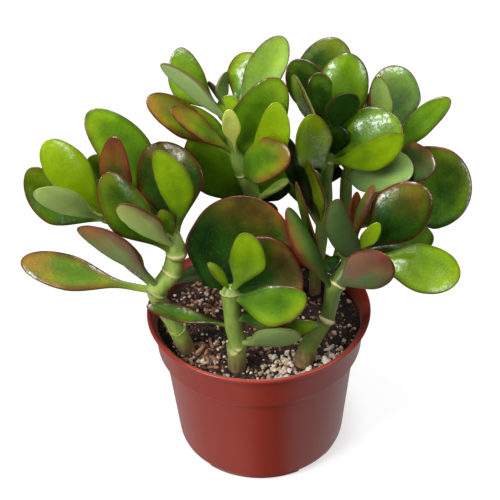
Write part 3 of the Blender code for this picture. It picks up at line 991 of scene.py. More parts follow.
@dataclass(frozen=True)
class Branch:
    """A stem's centre line, as points with the stem's radius there, and the leaves on it.

    Dusk is painted shade: how dark a green the stem is painted, from 0 in full light to 1 in deep shade.
    """

    line: tuple[tuple[float, float, float, float], ...]
    leaves: tuple[Leaf, ...]
    dusk: float = 0.5

    def station(self, number: float) -> Vector:
        """Give the point at a station on the straight centre line."""
        first = min(int(number), len(self.line) - 2)
        return Vector(self.line[first][:3]).lerp(Vector(self.line[first + 1][:3]), number - first)

    def curve(self, number: float) -> Vector:
        """Give the point and radius at a station on the smooth centre line.

        Args:
            number: The station.

        Returns:
            A vector of x, y, z and radius.
        """
        last = len(self.line) - 1
        first = min(int(number), last - 1)
        share = number - first
        before, start, end, after = (
            Vector(self.line[min(max(first + step, 0), last)]) for step in (-1, 0, 1, 2)
        )
        bend = 2 * start + (end - before) * share
        bend += (2 * before - 5 * start + 4 * end - after) * share ** 2
        bend += (3 * start - before - 3 * end + after) * share ** 3
        return bend / 2

    def scars(self) -> list[float]:
        """Give the stations where old leaves left a ring, which are the thickest points."""
        radii = [point[3] for point in self.line]
        inner = range(1, len(radii) - 1)
        return [float(spot) for spot in inner if radii[spot - 1] < radii[spot] > radii[spot + 1]]

    def rings(self, count: int) -> list[tuple[float, float, Vector, Vector]]:
        """Space points evenly along the smooth centre line.

        Args:
            count: How many points are wanted.

        Returns:
            For each point its distance from the foot, the length that is left, the point with the
            stem's radius, and the stem's direction.
        """
        samples = LINE_STEPS * (len(self.line) - 1) + 1
        stations = [sample / LINE_STEPS for sample in range(samples)]
        spots = [self.curve(number).to_3d() for number in stations]
        lengths = [0.0]
        for low, high in zip(spots, spots[1:]):
            lengths.append(lengths[-1] + (high - low).length)
        made = []
        sample = 0
        for number in range(count):
            distance = lengths[-1] * number / (count - 1)
            while sample < len(lengths) - 2 and lengths[sample + 1] < distance:
                sample += 1
            step = max(lengths[sample + 1] - lengths[sample], NEARLY_NOTHING)
            station = stations[sample] + (distance - lengths[sample]) / step / LINE_STEPS
            ahead = self.curve(min(station + WAY_STEP, stations[-1])).to_3d()
            behind = self.curve(max(station - WAY_STEP, 0.0)).to_3d()
            way = (ahead - behind).normalized()
            made.append((distance, lengths[-1] - distance, self.curve(station), way))
        return made

    def build(self, plant: PlantMesh, soil: float, seed: float) -> None:
        """Add the stem to a plant, with swollen rings at its scars.

        Args:
            plant: The plant's mesh.
            soil: The height of the potting mix.
            seed: A number of its own, for its small unevenness.
        """
        straight = sum(
            (Vector(high[:3]) - Vector(low[:3])).length for low, high in zip(self.line, self.line[1:])
        )
        count = max(int(straight / STEM_RING_STEP), LEAST_STEM_RINGS)
        rings = self.rings(count + 1)
        scars = [
            min(rings, key=lambda ring: (ring[2].to_3d() - self.station(spot)).length)[0]
            for spot in self.scars()
        ]
        for corner in plant.ball(STEM_SIDES, count, 1):
            share = math.acos(max(-1.0, min(1.0, -corner.co.z))) / math.pi
            distance, left, here, along = rings[round(share * count)]
            side = along.cross(Vector((0, 1, 0))).normalized()
            front = along.cross(side)
            angle = math.atan2(corner.co.y, corner.co.x)
            aside, forward = math.cos(angle), math.sin(angle)
            gaps = [abs(distance - spot) for spot in scars]
            scar = max((bell(gap, SCAR_REACH) for gap in gaps), default=0.0)
            crease = max((bell(gap - CREASE_PLACE, CREASE_REACH) for gap in gaps), default=0.0)
            radius = here.w + SCAR_SWELLING * scar - CREASE_DEPTH * crease
            radius += STEM_UNEVENNESS * ripple(
                aside * STEM_SWELLS, forward * STEM_SWELLS, distance / STEM_SWELL_LENGTH + seed
            )
            end = min(distance, left) / max(here.w, NEARLY_NOTHING)
            radius *= math.sqrt(max(0.0, 1 - (1 - min(end, 1.0)) ** 2))
            corner.co = here.to_3d() + (side * aside + front * forward) * radius
            wood = 1 - smooth(soil - WOOD_SUNK, soil + GREEN_FROM, here.z)
            plant.write(corner, along=share, scar=scar, wood=wood, tone=self.dusk)


@dataclass(frozen=True)
class LeafyStem:
    """One rooted stem with its side shoots and leaves, which stands for one node.

    Soil is the height of the potting mix.
    """

    SEEDS = 90

    node: str
    branches: tuple[Branch, ...]
    soil: float
    seed: int

    def build(self, skin: bpy.types.Material, bark: bpy.types.Material) -> bpy.types.Object:
        """Build the plant.

        Args:
            skin: The leaves' material.
            bark: The stems' material.

        Returns:
            The plant.
        """
        plant = PlantMesh()
        draw = random.Random(self.seed)
        for branch in self.branches:
            branch.build(plant, self.soil, draw.uniform(0, self.SEEDS))
            for leaf in branch.leaves:
                leaf.build(plant, branch.station(leaf.station), draw.uniform(0, self.SEEDS))
        return standing_for(plant.done(self.node + "_foliage", skin, bark), self.node)


LEFT = (
    Branch(
        ((-33, -19, 57, 4.5), (-42, -24, 90, 4.5), (-42, -24, 92, 5.0), (-43, -24, 94, 4.4),
         (-51, -26, 115, 4.3), (-51, -26, 119, 5.2), (-49, -26, 122, 4.6), (-43, -25, 130, 4.9),
         (-41, -23, 137, 4.6), (-40, -23, 140, 5.2), (-41, -21, 149, 3.8), (-41, -20, 153, 2.4)),
        (
            Leaf(5, (-119, -15, 132), 19, (0, -1, 1.4), 2, 1, 0.22, 1.5, Skin.RED_TIP),
            Leaf(5.6, (-84, -35, 166), 18, (0, 3, 1.8), -3, 2, 0.22, 6, Skin.GREY_RED, 0.3),
            Leaf(5, (-22, 0, 109), 13, (0, 0, 1), 3, 1, 0.25, skin=Skin.GREY),
            Leaf(9, (-71, -28, 190), 22, (0, -1, 1), 3, -2, 0.15, 4, Skin.OLIVE),
            Leaf(9.4, (-62, -47, 186), 16, (0, 2, 1), -2, 2, 0.10, skin=Skin.PALE_RED, sunny=0.35),
            Leaf(9, (-18, 6, 132), 17, (0, 0, 1), 2, 1, 0.30, skin=Skin.DEEP),
            Leaf(10, (-45, -26, 201), 16.5, (0, -3, 1), 2, 0, 0.12, -6, Skin.FRESH),
            Leaf(10, (-45, -29, 170), 9, (0, -3, 1), 2, 1, 0.15, skin=Skin.GREEN),
            Leaf(10, (-46, 2, 189), 32, (0, -3, 1), 1, 3, 0.05, -3, Skin.MOSSY),
            Leaf(10, (-79, 8, 204), 25, (1, -3, 2), -2, 1, 0.20, -4, Skin.GREEN, 0.3),
            Leaf(5, (-74, 8, 128), 13, (0, 1, 3), -2, 2, 0.20, skin=Skin.GREEN),
            Leaf(8, (-64, 22, 163), 26, (0, 1, 2), -3, 2, 0.20, skin=Skin.GREEN),
            Leaf(9.6, (-47, 24, 176), 20, (0, 1, 1), -2, 2, 0.20, skin=Skin.DEEP),
        ),
        dusk=0.1,
    ),
    Branch(
        ((-41, -21, 143, 3.2), (-61, -14, 150, 3.0), (-75, -8, 152, 3.0), (-78, -7, 153, 2.0)),
        (
            Leaf(2, (-112, -3, 177), 23, (1, -3, 2), -4, 3, 0.0, 5, Skin.OLIVE),
            Leaf(2, (-99, -10, 198), 21, (0, -1, 1), 3, -3, 0.12, skin=Skin.BRIGHT),
            Leaf(2, (-102, -33, 186), 16, (0, 1, 0), -2, 2, 0.15, skin=Skin.PALE),
            Leaf(1, (-66, -12, 201), 16, (-1, -3, 1), 2, 1, 0.15, 2, Skin.DARK_TIP),
            Leaf(2, (-79, 5, 181), 16, (1, -2, 1), 2, 1, 0.20, skin=Skin.GREEN),
        ),
    ),
)

CENTRE = (
    Branch(
        ((-12, -37, 57, 4.8), (-12, -37, 88, 4.8), (-12, -37, 90, 5.3), (-11, -37, 93, 4.6),
         (-13, -37, 103, 4.4), (-14, -37, 120, 4.3), (-14, -36, 125, 5.0), (-14, -36, 129, 3.0)),
        (
            Leaf(6, (-2, -14, 166), 52, (0, -3, 2), -5, 5, -0.3, skin=Skin.BRONZE, sunny=-0.4),
            Leaf(6, (20, -35, 139), 42, (-1, -2, 1), -3, 4, 0.05, skin=Skin.BRONZE),
            Leaf(6, (-5, -40, 163), 18, (0, -3, 1), 1, 1, 0.10, -4, Skin.FRESH),
            Leaf(6, (-24, -40, 146), 6, (1, -1, 1), 1, 1, 0.05, skin=Skin.FRESH),
            Leaf(5.8, (23, -50, 130), 21, (0, -2, 1), 2, 1, 0.05, -4, Skin.GREEN, -0.35),
            Leaf(3, (18, -52, 112), 23, (0, 2, 1), -2, 1, 0.15, skin=Skin.GREY),
            Leaf(4.3, (17, -46, 117), 18, (0, -1, 2), 2, 1, 0.10, skin=Skin.DEEP),
            Leaf(3.1, (29, -39, 105), 9, (0, -1, 1), 2, 1, 0.25, skin=Skin.GREEN),
            Leaf(4, (-55, -43, 123), 9, (0, -1, 2), 0, 1, 0.15, skin=Skin.OLIVE),
        ),
        dusk=0.3,
    ),
)

RIGHT = (
    Branch(
        ((17, -34, 57, 5.6), (22, -34, 76, 5.4), (24, -34, 82, 5.0), (25, -34, 87, 4.6),
         (33, -33, 101, 3.9), (34, -33, 103, 4.3), (35, -32, 106, 3.7), (37, -32, 119, 3.7),
         (39, -31, 124, 4.4), (48, -24, 135, 3.6), (50, -22, 140, 2.4)),
        (
            Leaf(7, (14, -32, 171), 13, (-3, 2, 0), -2, 3, 0.05, -1, Skin.DEEP, -0.7),
            Leaf(7, (19, -20, 178), 5, (-1, -1, 0), 1, 1, 0.1, skin=Skin.DEEP),
            Leaf(8, (35, -15, 128), 14, (0, -1, 0.3), 2, 1, 0.20, skin=Skin.SHADED),
            Leaf(9, (37, -37, 179), 14, (0, 3, 1), -2, 2, -0.5, -3, Skin.DUSKY),
            Leaf(9.5, (49, -12, 166), 7, (1, -2, 0), -2, 1, 0.10, skin=Skin.RUSTY),
            Leaf(9.5, (57, -16, 172), 8, (2, 1, 0), -4, 1, 0.15, skin=Skin.BRONZE),
            Leaf(9.5, (82, -20, 172), 28, (0, -1.5, 1), 4, -2, 0.10, skin=Skin.MOSSY, sunny=0.15),
            Leaf(9.5, (58, -32, 161), 8, (0, -2, 1), 1, 1, 0.10, skin=Skin.BRIGHT),
            Leaf(8, (61, -57, 158), 21, (0, 2, -1), -3, 2, 0.10, skin=Skin.MAUVE, sunny=-0.45),
            Leaf(9, (100, -30, 127), 27, (0, -1, 2), 4, 0, 0.15, -2, Skin.FRESH),
            Leaf(9, (89, -5, 135), 20, (0, -1, 2), 2, 1, 0.20, skin=Skin.DEEP),
            Leaf(8, (60, -8, 112), 18, (0, 0, 1), 2, 1, 0.25, skin=Skin.SHADED),
        ),
        dusk=0.65,
    ),
)

BACK = (
    Branch(
        ((5, 12, 57, 4.5), (5, 12, 90, 4.5), (3, 12, 115, 4.4), (0, 12, 143, 4.4),
         (-3, 12, 154, 4.2), (-6, 12, 164, 4.6), (-9, 12, 173, 3.8), (-12, 12, 186, 2.6),
         (-11, 14, 199, 2.0)),
        (
            Leaf(3.2, (-30, 8, 190), 28, (1, -4, 0), -2, 2, -0.1, 3, Skin.GREEN),
            Leaf(6, (-39, -6, 211), 14, (0, -1, 2), 1, 1, 0.15, skin=Skin.RED_TIP),
            Leaf(6, (-51, 5, 211), 19, (0, -1, 2), 1, 1, 0.20, skin=Skin.RED_TIP),
            Leaf(7.5, (-43, 10, 227), 11, (1, 2, 0), -1, 2, 0.05, skin=Skin.SILVER),
            Leaf(7.8, (-37, 30, 224), 19, (0, -3, 1), -1, 2, 0.15, 6, Skin.GREEN),
            Leaf(7.8, (-12, 25, 214), 13, (2, -1, 0), -4, 1, 0.10, 1, Skin.GREY),
            Leaf(7.8, (-22, 30, 205), 14, (2, -1, 0), 1, 1, 0.10, skin=Skin.DUSKY),
            Leaf(7.8, (2, 40, 215.5), 28, (0, -1.5, 1), 2, -3, 0.10, -4, Skin.GREEN, 0.3),
            Leaf(7.6, (16, 34, 227), 18, (0, -1.5, 1), 1, 3, 0.10, -1, Skin.SATIN),
            Leaf(6.3, (13, 8, 218), 25, (0, -2, 1), 2, 1, -0.2, -1, Skin.GREEN),
            Leaf(7, (-12, 18, 205), 13, (0, -1, 1), 1, 1, 0.10, skin=Skin.FRESH),
            Leaf(6, (-12, -4, 209), 9, (0, -2, 1), 1, 1, 0.3, skin=Skin.BUD),
            Leaf(5, (12, 3, 208), 17, (0, -2, 1), 2, 2, 0.1, -5, Skin.BRIGHT),
            Leaf(5.3, (17, -12, 188), 22, (-0.2, -1, 0.7), 2, 0, -0.3, 1, Skin.RED_TIP),
            Leaf(3.2, (16, 2, 163), 14, (0, 0, 1), 1, 1, 0.10, skin=Skin.PALE),
            Leaf(3, (18, 17, 152), 10, (0, -1, 0), 1, 1, 0.10, 2, Skin.SHADED),
            Leaf(3, (11, 4, 146), 11, (0, -1, 0), 1, 1, 0.10, skin=Skin.SHADED),
            Leaf(2, (-10, 48, 122), 26, (0, 1, 3), -3, 3, 0.20, skin=Skin.GREEN),
            Leaf(3, (-28, 40, 150), 28, (0, 1, 2), -3, 3, 0.20, skin=Skin.DEEP),
            Leaf(3, (16, 52, 152), 30, (0, 1, 2), -3, 3, 0.20, skin=Skin.GREEN),
            Leaf(5, (-34, 46, 184), 26, (0, 1, 2), -3, 3, 0.15, skin=Skin.OLIVE),
            Leaf(6, (6, 56, 188), 28, (0, 1, 2), -3, 3, 0.15, skin=Skin.FRESH),
        ),
        dusk=0.45,
    ),
)

BACK_RIGHT = (
    Branch(
        ((32, 24, 57, 3.4), (32, 24, 90, 3.2), (34, 22, 105, 3.4), (35, 22, 121, 3.4),
         (37, 22, 136, 3.2), (37, 22, 151, 3.0), (38, 22, 163, 3.3), (41, 24, 180, 2.7),
         (42, 25, 189, 2.0)),
        (
            Leaf(6, (73, 12, 188), 27, (-1, -2, 2), 2, 3, 0.08, 3, Skin.GREEN),
            Leaf(5.6, (25, 2, 201), 22, (0.2, -1, 0.6), 2, 3, 0.10, 4, Skin.FRESH, -0.45),
            Leaf(3.1, (24, 6, 177), 13, (-1, -1, 1), 1, 1, 0.15, -5, Skin.EDGED),
            Leaf(6, (41, 20, 185), 16, (0, -1, 0), 1, 1, 0.10, skin=Skin.SHADED),
            Leaf(6.3, (20, 20, 214), 14, (-2, -1, 0), 1, 2, 0.10, skin=Skin.SATIN),
            Leaf(7, (20, 40, 211), 20, (0, -2, 1), 1, 1, 0.10, skin=Skin.DEEP),
            Leaf(7, (31, 30, 209), 15, (0, -2, 1), 1, 1, 0.10, skin=Skin.DEEP),
            Leaf(7.6, (40, 55, 216), 29, (0, -2, 1), -2, 1, 0.10, 4, Skin.OLIVE),
            Leaf(7, (48, 35, 217), 26, (0, -1.5, 1), 3, -3, -0.2, skin=Skin.GREEN),
            Leaf(6.8, (46, 12, 207), 17, (0, 1, 1), 1, 1, 0.10, skin=Skin.SHADED),
            Leaf(3, (16, 12, 184), 17, (-1, -1, 0), 2, 1, 0.15, skin=Skin.SHADED),
            Leaf(3, (22, 64, 140), 26, (0, 1, 2), -3, 3, 0.20, skin=Skin.GREEN),
            Leaf(5, (38, 58, 158), 28, (0, 1, 2), -3, 3, 0.15, skin=Skin.DEEP),
            Leaf(6, (62, 50, 178), 24, (1, 0, 2), -3, 3, 0.15, skin=Skin.GREEN),
            Leaf(6, (71, -8, 195), 16, (0, -3, 1), 3, 1, 0.05, -4, Skin.FRESH),
        ),
    ),
)

FAR_RIGHT = (
    Branch(
        ((40, 14, 57, 3.6), (40, 14, 88, 3.6), (47, 26, 108, 3.4), (48, 30, 128, 3.3),
         (49, 30, 150, 3.2), (58, 28, 157, 2.9), (68, 27, 162, 2.7), (74, 28, 165, 2.0)),
        (
            Leaf(6.5, (74, 55, 199), 26, (0, -2, 1), 2, 1, 0.15, skin=Skin.SAGE, sunny=0.25),
            Leaf(6, (63, 38, 202), 12, (0, -2, 1), 1, 1, 0.15, skin=Skin.FROSTED),
            Leaf(6.5, (101, 40, 187), 14, (0, -1, 1), 1, 1, -0.15, 1, Skin.GREEN),
            Leaf(4, (77, -2, 168), 27, (0, -1, 1.5), 2, 1, -0.1, skin=Skin.GREY),
            Leaf(6, (88, -5, 174), 20, (0, -2, 1), 2, 1, 0.15, skin=Skin.VEILED, sunny=0.4),
            Leaf(5, (59, 34, 195), 9, (-1, 0, 0), 1, 1, 0.20, skin=Skin.RUSTY),
            Leaf(4, (36, 39, 142), 13, (0, -1, 2), 1, 1, 0.10, skin=Skin.SHADED),
            Leaf(2.4, (66, 52, 112), 26, (0, 1, 3), -3, 3, 0.25, skin=Skin.GREEN),
            Leaf(4, (52, 66, 152), 26, (0, 1, 2), -3, 3, 0.20, skin=Skin.DEEP),
            Leaf(6.4, (74, 62, 150), 24, (0, 1, 2), -3, 3, 0.20, skin=Skin.GREEN),
        ),
    ),
    Branch(
        ((48, 29, 120, 2.9), (60, 28, 132, 2.7), (68, 26, 140, 2.2)),
        (
            Leaf(1.5, (112, 20, 150), 43, (0, -1.2, 1), 4, 2, 0.08, skin=Skin.OLIVE, sunny=0.3),
            Leaf(1.5, (82, 56, 132), 26, (0, 1, 2), -3, 3, 0.15, skin=Skin.GREEN),
        ),
    ),
)

PLANTS = {
    "left_plant": LEFT,
    "centre_plant": CENTRE,
    "right_plant": RIGHT,
    "back_plant": BACK,
    "back_right_plant": BACK_RIGHT,
    "far_right_plant": FAR_RIGHT,
}


# Corners of a turned skin that are closer than this are one corner
WELD = 0.005


def turned(outline: list[tuple[float, float]], steps: int) -> bmesh.types.BMesh:
    """Turn an outline about the Z axis.

    Args:
        outline: Pairs of radius and height.
        steps: How many steps the turn has.

    Returns:
        The turned skin, closed and facing out.
    """
    bm = bmesh.new()
    corners = [bm.verts.new((radius, 0, height)) for radius, height in outline]
    edges = [bm.edges.new(pair) for pair in zip(corners, corners[1:])]
    bmesh.ops.spin(
        bm, geom=corners + edges, cent=(0, 0, 0), axis=(0, 0, 1), angle=math.tau, steps=steps,
        use_merge=True,
    )
    bmesh.ops.remove_doubles(bm, verts=bm.verts, dist=WELD)
    bmesh.ops.recalc_face_normals(bm, faces=bm.faces)
    return bm


@dataclass(frozen=True)
class Pot:
    """Thin moulded nursery pot: rolled lip, collar, tapered body, floor with drainage channels."""

    height: float = 87.0
    lip_radius: float = 60.0
    lip_thickness: float = 2.6
    collar_top: float = 56.6
    collar_foot: float = 55.4
    collar_foot_height: float = 65.5
    body_top: float = 51.8
    body_top_height: float = 62.0
    body_foot: float = 46.6
    body_foot_height: float = 5.0
    base: float = 43.6
    wall: float = 1.4
    floor_top: float = 5.0
    steps: int = 180
    rounding: float = 0.7
    rounded_share: float = 0.4
    round_steps: int = 3
    crisp_angle: float = math.radians(32.0)
    channels: int = 4
    channel_width: float = 20.0
    channel_height: float = 3.4
    channel_inner: float = 17.0
    first_channel: float = math.radians(-142.0)
    drain_radius: float = 3.5
    drain_place: float = 33.0
    drain_sides: int = 32

    def inside(self) -> list[tuple[float, float]]:
        """Give the inner outline, from the lip down to the floor."""
        return [
            (self.lip_radius - self.lip_thickness, self.height - 1.0),
            (self.collar_top - self.wall, self.height - 4.0),
            (self.collar_foot - self.wall, self.collar_foot_height + 0.6),
            (self.body_top - self.wall, self.body_top_height + 0.4),
            (self.body_foot - self.wall, self.floor_top + 2.0),
            (self.body_foot - self.wall - 2.4, self.floor_top),
        ]

    def outside(self) -> list[tuple[float, float]]:
        """Give the outer outline, from the lip down to the underside."""
        return [
            (self.lip_radius - 1.4, self.height),
            (self.lip_radius - 0.3, self.height - 0.6),
            (self.lip_radius, self.height - 1.4),
            (self.lip_radius - 0.6, self.height - self.lip_thickness),
            (self.collar_top, self.height - self.lip_thickness - 0.4),
            (self.collar_foot, self.collar_foot_height),
            (self.collar_foot - 1.0, self.collar_foot_height - 1.2),
            (self.body_top, self.body_top_height),
            (self.body_foot, self.body_foot_height),
            (self.body_foot - 1.3, 1.4),
            (self.base, 0.0),
        ]

    def rounded(self, outline: list[tuple[float, float]]) -> list[tuple[float, float]]:
        """Round an outline's inner corners.

        Args:
            outline: Pairs of radius and height.

        Returns:
            The outline with a short curve in place of each corner.
        """
        made = [outline[0]]
        for before, corner, after in zip(outline, outline[1:], outline[2:]):
            here = Vector(corner)
            back, ahead = Vector(before) - here, Vector(after) - here
            reach = min(self.rounding, self.rounded_share * min(back.length, ahead.length))
            start, end = here + back.normalized() * reach, here + ahead.normalized() * reach
            for step in range(self.round_steps + 1):
                share = step / self.round_steps
                made.append(tuple(start.lerp(here, share).lerp(here.lerp(end, share), share)))
        return [*made, outline[-1]]

    def carve(self, pot: bpy.types.Object) -> None:
        """Cut the drainage channels and the drain holes, and keep the hard edges crisp.

        Args:
            pot: The turned pot.
        """
        cutters = []
        length = self.lip_radius - self.channel_inner
        for number in range(self.channels):
            turn = Matrix.Rotation(self.first_channel + math.tau * number / self.channels, 4, "Z")
            slot = bmesh.new()
            size = Matrix.Diagonal((length, self.channel_width, 2 * self.channel_height, 1.0))
            out = Matrix.Translation((self.channel_inner + length / 2, 0, 0))
            bmesh.ops.create_cube(slot, size=1.0, matrix=turn @ out @ size)
            cutters.append(finished(f"channel {number}", slot))
            hole = bmesh.new()
            bmesh.ops.create_cone(
                hole, cap_ends=True, segments=self.drain_sides, radius1=self.drain_radius,
                radius2=self.drain_radius, depth=4 * self.floor_top,
                matrix=turn @ Matrix.Translation((self.drain_place, 0, 0)),
            )
            cutters.append(finished(f"drain {number}", hole))
        for cutter in cutters:
            boolean = pot.modifiers.new(cutter.name, "BOOLEAN")
            boolean.operation = "DIFFERENCE"
            boolean.solver = "EXACT"
            boolean.object = cutter
        view = bpy.context.evaluated_depsgraph_get()
        carved = bpy.data.meshes.new_from_object(pot.evaluated_get(view))
        pot.modifiers.clear()
        pot.data = carved
        for cutter in cutters:
            bpy.data.objects.remove(cutter, do_unlink=True)
        bm = bmesh.new()
        bm.from_mesh(carved)
        for edge in bm.edges:
            edge.smooth = edge.calc_face_angle(0.0) < self.crisp_angle
        bm.to_mesh(carved)
        bm.free()

    def build(self, plastic: bpy.types.Material) -> bpy.types.Object:
        """Build the pot.

        Args:
            plastic: Its material.

        Returns:
            The pot.
        """
        outline = self.outside() + [(0.0, 0.0)]
        inner = [(0.0, self.floor_top)] + self.inside()[::-1] + [self.outside()[0]]
        skin = self.rounded(outline) + self.rounded(inner)
        pot = finished("nursery_pot", turned(skin, self.steps), plastic)
        self.carve(pot)
        return standing_for(pot, "pot")


@dataclass(frozen=True)
class Drift:
    """A patch of the mix's top where one kind of grain lies thicker."""

    centre: tuple[float, float]
    reach: float
    share: float

    def weight(self, x: float, y: float) -> float:
        """Give how much thicker the grains lie at a place."""
        distance = math.hypot(x - self.centre[0], y - self.centre[1]) / self.reach
        return self.share * math.exp(-distance * distance)


@dataclass(frozen=True)
class Strew:
    """One kind of grain and how it lies on the mix.

    Smallest and largest are half sizes in millimetres, and shape is a grain's proportions. Cuts
    is how finely it is divided, lumps how uneven it is, and sunk how deep it lies in the mix.
    Tints is the range of its colours, and spread its share away from its drifts.
    """

    FORMS = 6
    SEEDS = 90
    ROUNDNESS = 0.78
    LUMP_PITCH = 1.6
    RARITY_OF_LARGE = 1.8
    SIZE_APART = 0.8
    SIZE_TOGETHER = 0.3
    VARIETY = (0.8, 1.2)
    TILT = 0.5
    TILT_AXIS_HEIGHT = 0.1

    name: str
    count: int
    smallest: float
    largest: float
    shape: Triple
    cuts: int
    lumps: float
    sunk: float
    tints: tuple[float, float]
    spread: float
    drifts: tuple[Drift, ...]
    seed: int

    def template(self, draw: random.Random) -> bpy.types.Mesh:
        """Make one lumpy grain of unit size.

        Args:
            draw: Where its lumps come from.

        Returns:
            Its mesh.
        """
        bm = bmesh.new()
        bmesh.ops.create_cube(bm, size=2.0)
        if self.cuts:
            bmesh.ops.subdivide_edges(bm, edges=bm.edges, cuts=self.cuts, use_grid_fill=True)
        shift = draw.uniform(0, self.SEEDS)
        for corner in bm.verts:
            out = corner.co.normalized()
            spot = out * self.LUMP_PITCH
            lump = self.lumps * ripple(spot.x + shift, spot.y, spot.z)
            corner.co = corner.co.lerp(out, self.ROUNDNESS) * (1 + lump)
        mesh = bpy.data.meshes.new(self.name + " grain")
        bm.to_mesh(mesh)
        bm.free()
        return mesh

    def place(self, bed: "PottingMix", draw: random.Random) -> Optional[Matrix]:
        """Draw a place, a size and a turn for one grain.

        Args:
            bed: The mix that it lies on.
            draw: Where its numbers come from.

        Returns:
            Its transform, or none where no grain is wanted or it has no room.
        """
        reach = bed.edge() * math.sqrt(draw.random())
        angle = draw.uniform(0, math.tau)
        x, y = reach * math.cos(angle), reach * math.sin(angle)
        thick = max([drift.weight(x, y) for drift in self.drifts], default=0.0)
        wanted = draw.random() < self.spread + thick
        size = self.smallest + (self.largest - self.smallest) * draw.random() ** self.RARITY_OF_LARGE
        size *= self.SIZE_APART + self.SIZE_TOGETHER * min(thick, 1.0)
        if not wanted or not bed.open_at(x, y, size):
            return None
        turn = Matrix.Rotation(draw.uniform(0, math.tau), 4, "Z")
        lean = draw.gauss(0, self.TILT)
        tilt = Matrix.Rotation(lean, 4, (draw.random(), draw.random(), self.TILT_AXIS_HEIGHT))
        form = [size * part * draw.uniform(*self.VARIETY) for part in self.shape]
        height = bed.height(x, y) + (0.5 - self.sunk) * form[2]
        return Matrix.Translation((x, y, height)) @ tilt @ turn @ Matrix.Diagonal((*form, 1.0))

    def build(self, bed: "PottingMix", finish: bpy.types.Material) -> bpy.types.Object:
        """Strew the grains over the mix.

        Args:
            bed: The mix that they lie on.
            finish: Their material.

        Returns:
            All the grains, as one piece.
        """
        draw = random.Random(self.seed)
        grains = [self.template(draw) for _ in range(self.FORMS)]
        bm = bmesh.new()
        layer = bm.verts.layers.float.new("tint")
        placed = 0
        while placed < self.count:
            lay = self.place(bed, draw)
            if lay is None:
                continue
            grain = draw.choice(grains).copy()
            grain.transform(lay)
            before = len(bm.verts)
            bm.from_mesh(grain)
            bm.verts.ensure_lookup_table()
            tint = draw.uniform(*self.tints)
            for corner in bm.verts[before:]:
                corner[layer] = tint
            bpy.data.meshes.remove(grain)
            placed += 1
        for grain in grains:
            bpy.data.meshes.remove(grain)
        thing = finished(self.name, bm, finish)
        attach(thing, BODY)
        LOG.info("%s: %d grains, %d faces", self.name, self.count, len(thing.data.polygons))
        return thing


@dataclass(frozen=True)
class PottingMix:
    """The filled body of peat, with its swells and crumbs, which tells where grains can lie.

    Feet is where the stems stand in it, as x, y and radius.
    """

    pot: Pot
    top: float = 76.0
    gap: float = 0.3
    swell: float = 1.1
    coarse_crumb: float = 0.45
    coarse_crumb_size: float = 3.4
    fine_crumb: float = 0.3
    fine_crumb_size: float = 1.5
    calm_rim: float = 2.0
    rim_clearance: float = 0.2
    steps: int = 200
    rings: int = 64
    feet: tuple[tuple[float, float, float], ...] = ()

    def edge(self) -> float:
        """Give the mix's radius at its top."""
        return self.outline(self.top)

    def outline(self, height: float) -> float:
        """Give the mix's radius at a height, one gap inside the pot's wall.

        Args:
            height: The height.

        Returns:
            The radius.
        """
        wall = self.pot.inside()
        for (high_radius, high), (low_radius, low) in zip(wall, wall[1:]):
            if high >= height >= low:
                share = (height - low) / (high - low)
                return low_radius + share * (high_radius - low_radius) - self.gap
        return wall[-1][0] - self.gap

    def height(self, x: float, y: float) -> float:
        """Give the height of the mix's top at a place: two crossing waves, and crumbs on them.

        Args:
            x: The place's x.
            y: The place's y.

        Returns:
            The height.
        """
        wave = math.sin(0.23 * x + 1.1) * math.cos(0.19 * y - 0.4)
        wave += 0.6 * math.sin(0.41 * x - 0.37 * y)
        coarse, fine = self.coarse_crumb_size, self.fine_crumb_size
        crumbs = self.coarse_crumb * ripple(x / coarse, y / coarse, 1.0)
        crumbs += self.fine_crumb * ripple(x / fine, y / fine, 2.0)
        uneven = smooth(self.edge(), self.edge() - self.calm_rim, math.hypot(x, y))
        return self.top + (self.swell * wave / 1.6 + crumbs) * uneven

    def open_at(self, x: float, y: float, size: float) -> bool:
        """Tell whether a grain of a size fits at a place, clear of the wall and the stems.

        Args:
            x: The place's x.
            y: The place's y.
            size: The grain's half size.

        Returns:
            Whether it fits.
        """
        if math.hypot(x, y) + size > self.edge() - self.rim_clearance:
            return False
        return all(
            math.hypot(x - foot_x, y - foot_y) > radius + 0.5 * size
            for foot_x, foot_y, radius in self.feet
        )

    def build(self, peat: bpy.types.Material) -> bpy.types.Object:
        """Build the filled body.

        Args:
            peat: Its material.

        Returns:
            The body of potting mix.
        """
        across = self.edge()
        rim = [(across * (ring + 1) / self.rings, self.top) for ring in range(self.rings)]
        wall = [(radius - self.gap, height) for radius, height in self.pot.inside()[2:5]]
        foot = self.pot.floor_top + self.gap
        skin = [(0.0, self.top), *rim, *wall, (self.outline(self.pot.floor_top), foot), (0.0, foot)]
        bm = turned(skin, self.steps)
        bm.verts.layers.float.new("tint")
        for corner in bm.verts:
            if corner.co.z > self.top - WELD:
                corner.co.z = self.height(corner.co.x, corner.co.y)
        return standing_for(finished("peat_bed", bm, peat), "potting_mix")


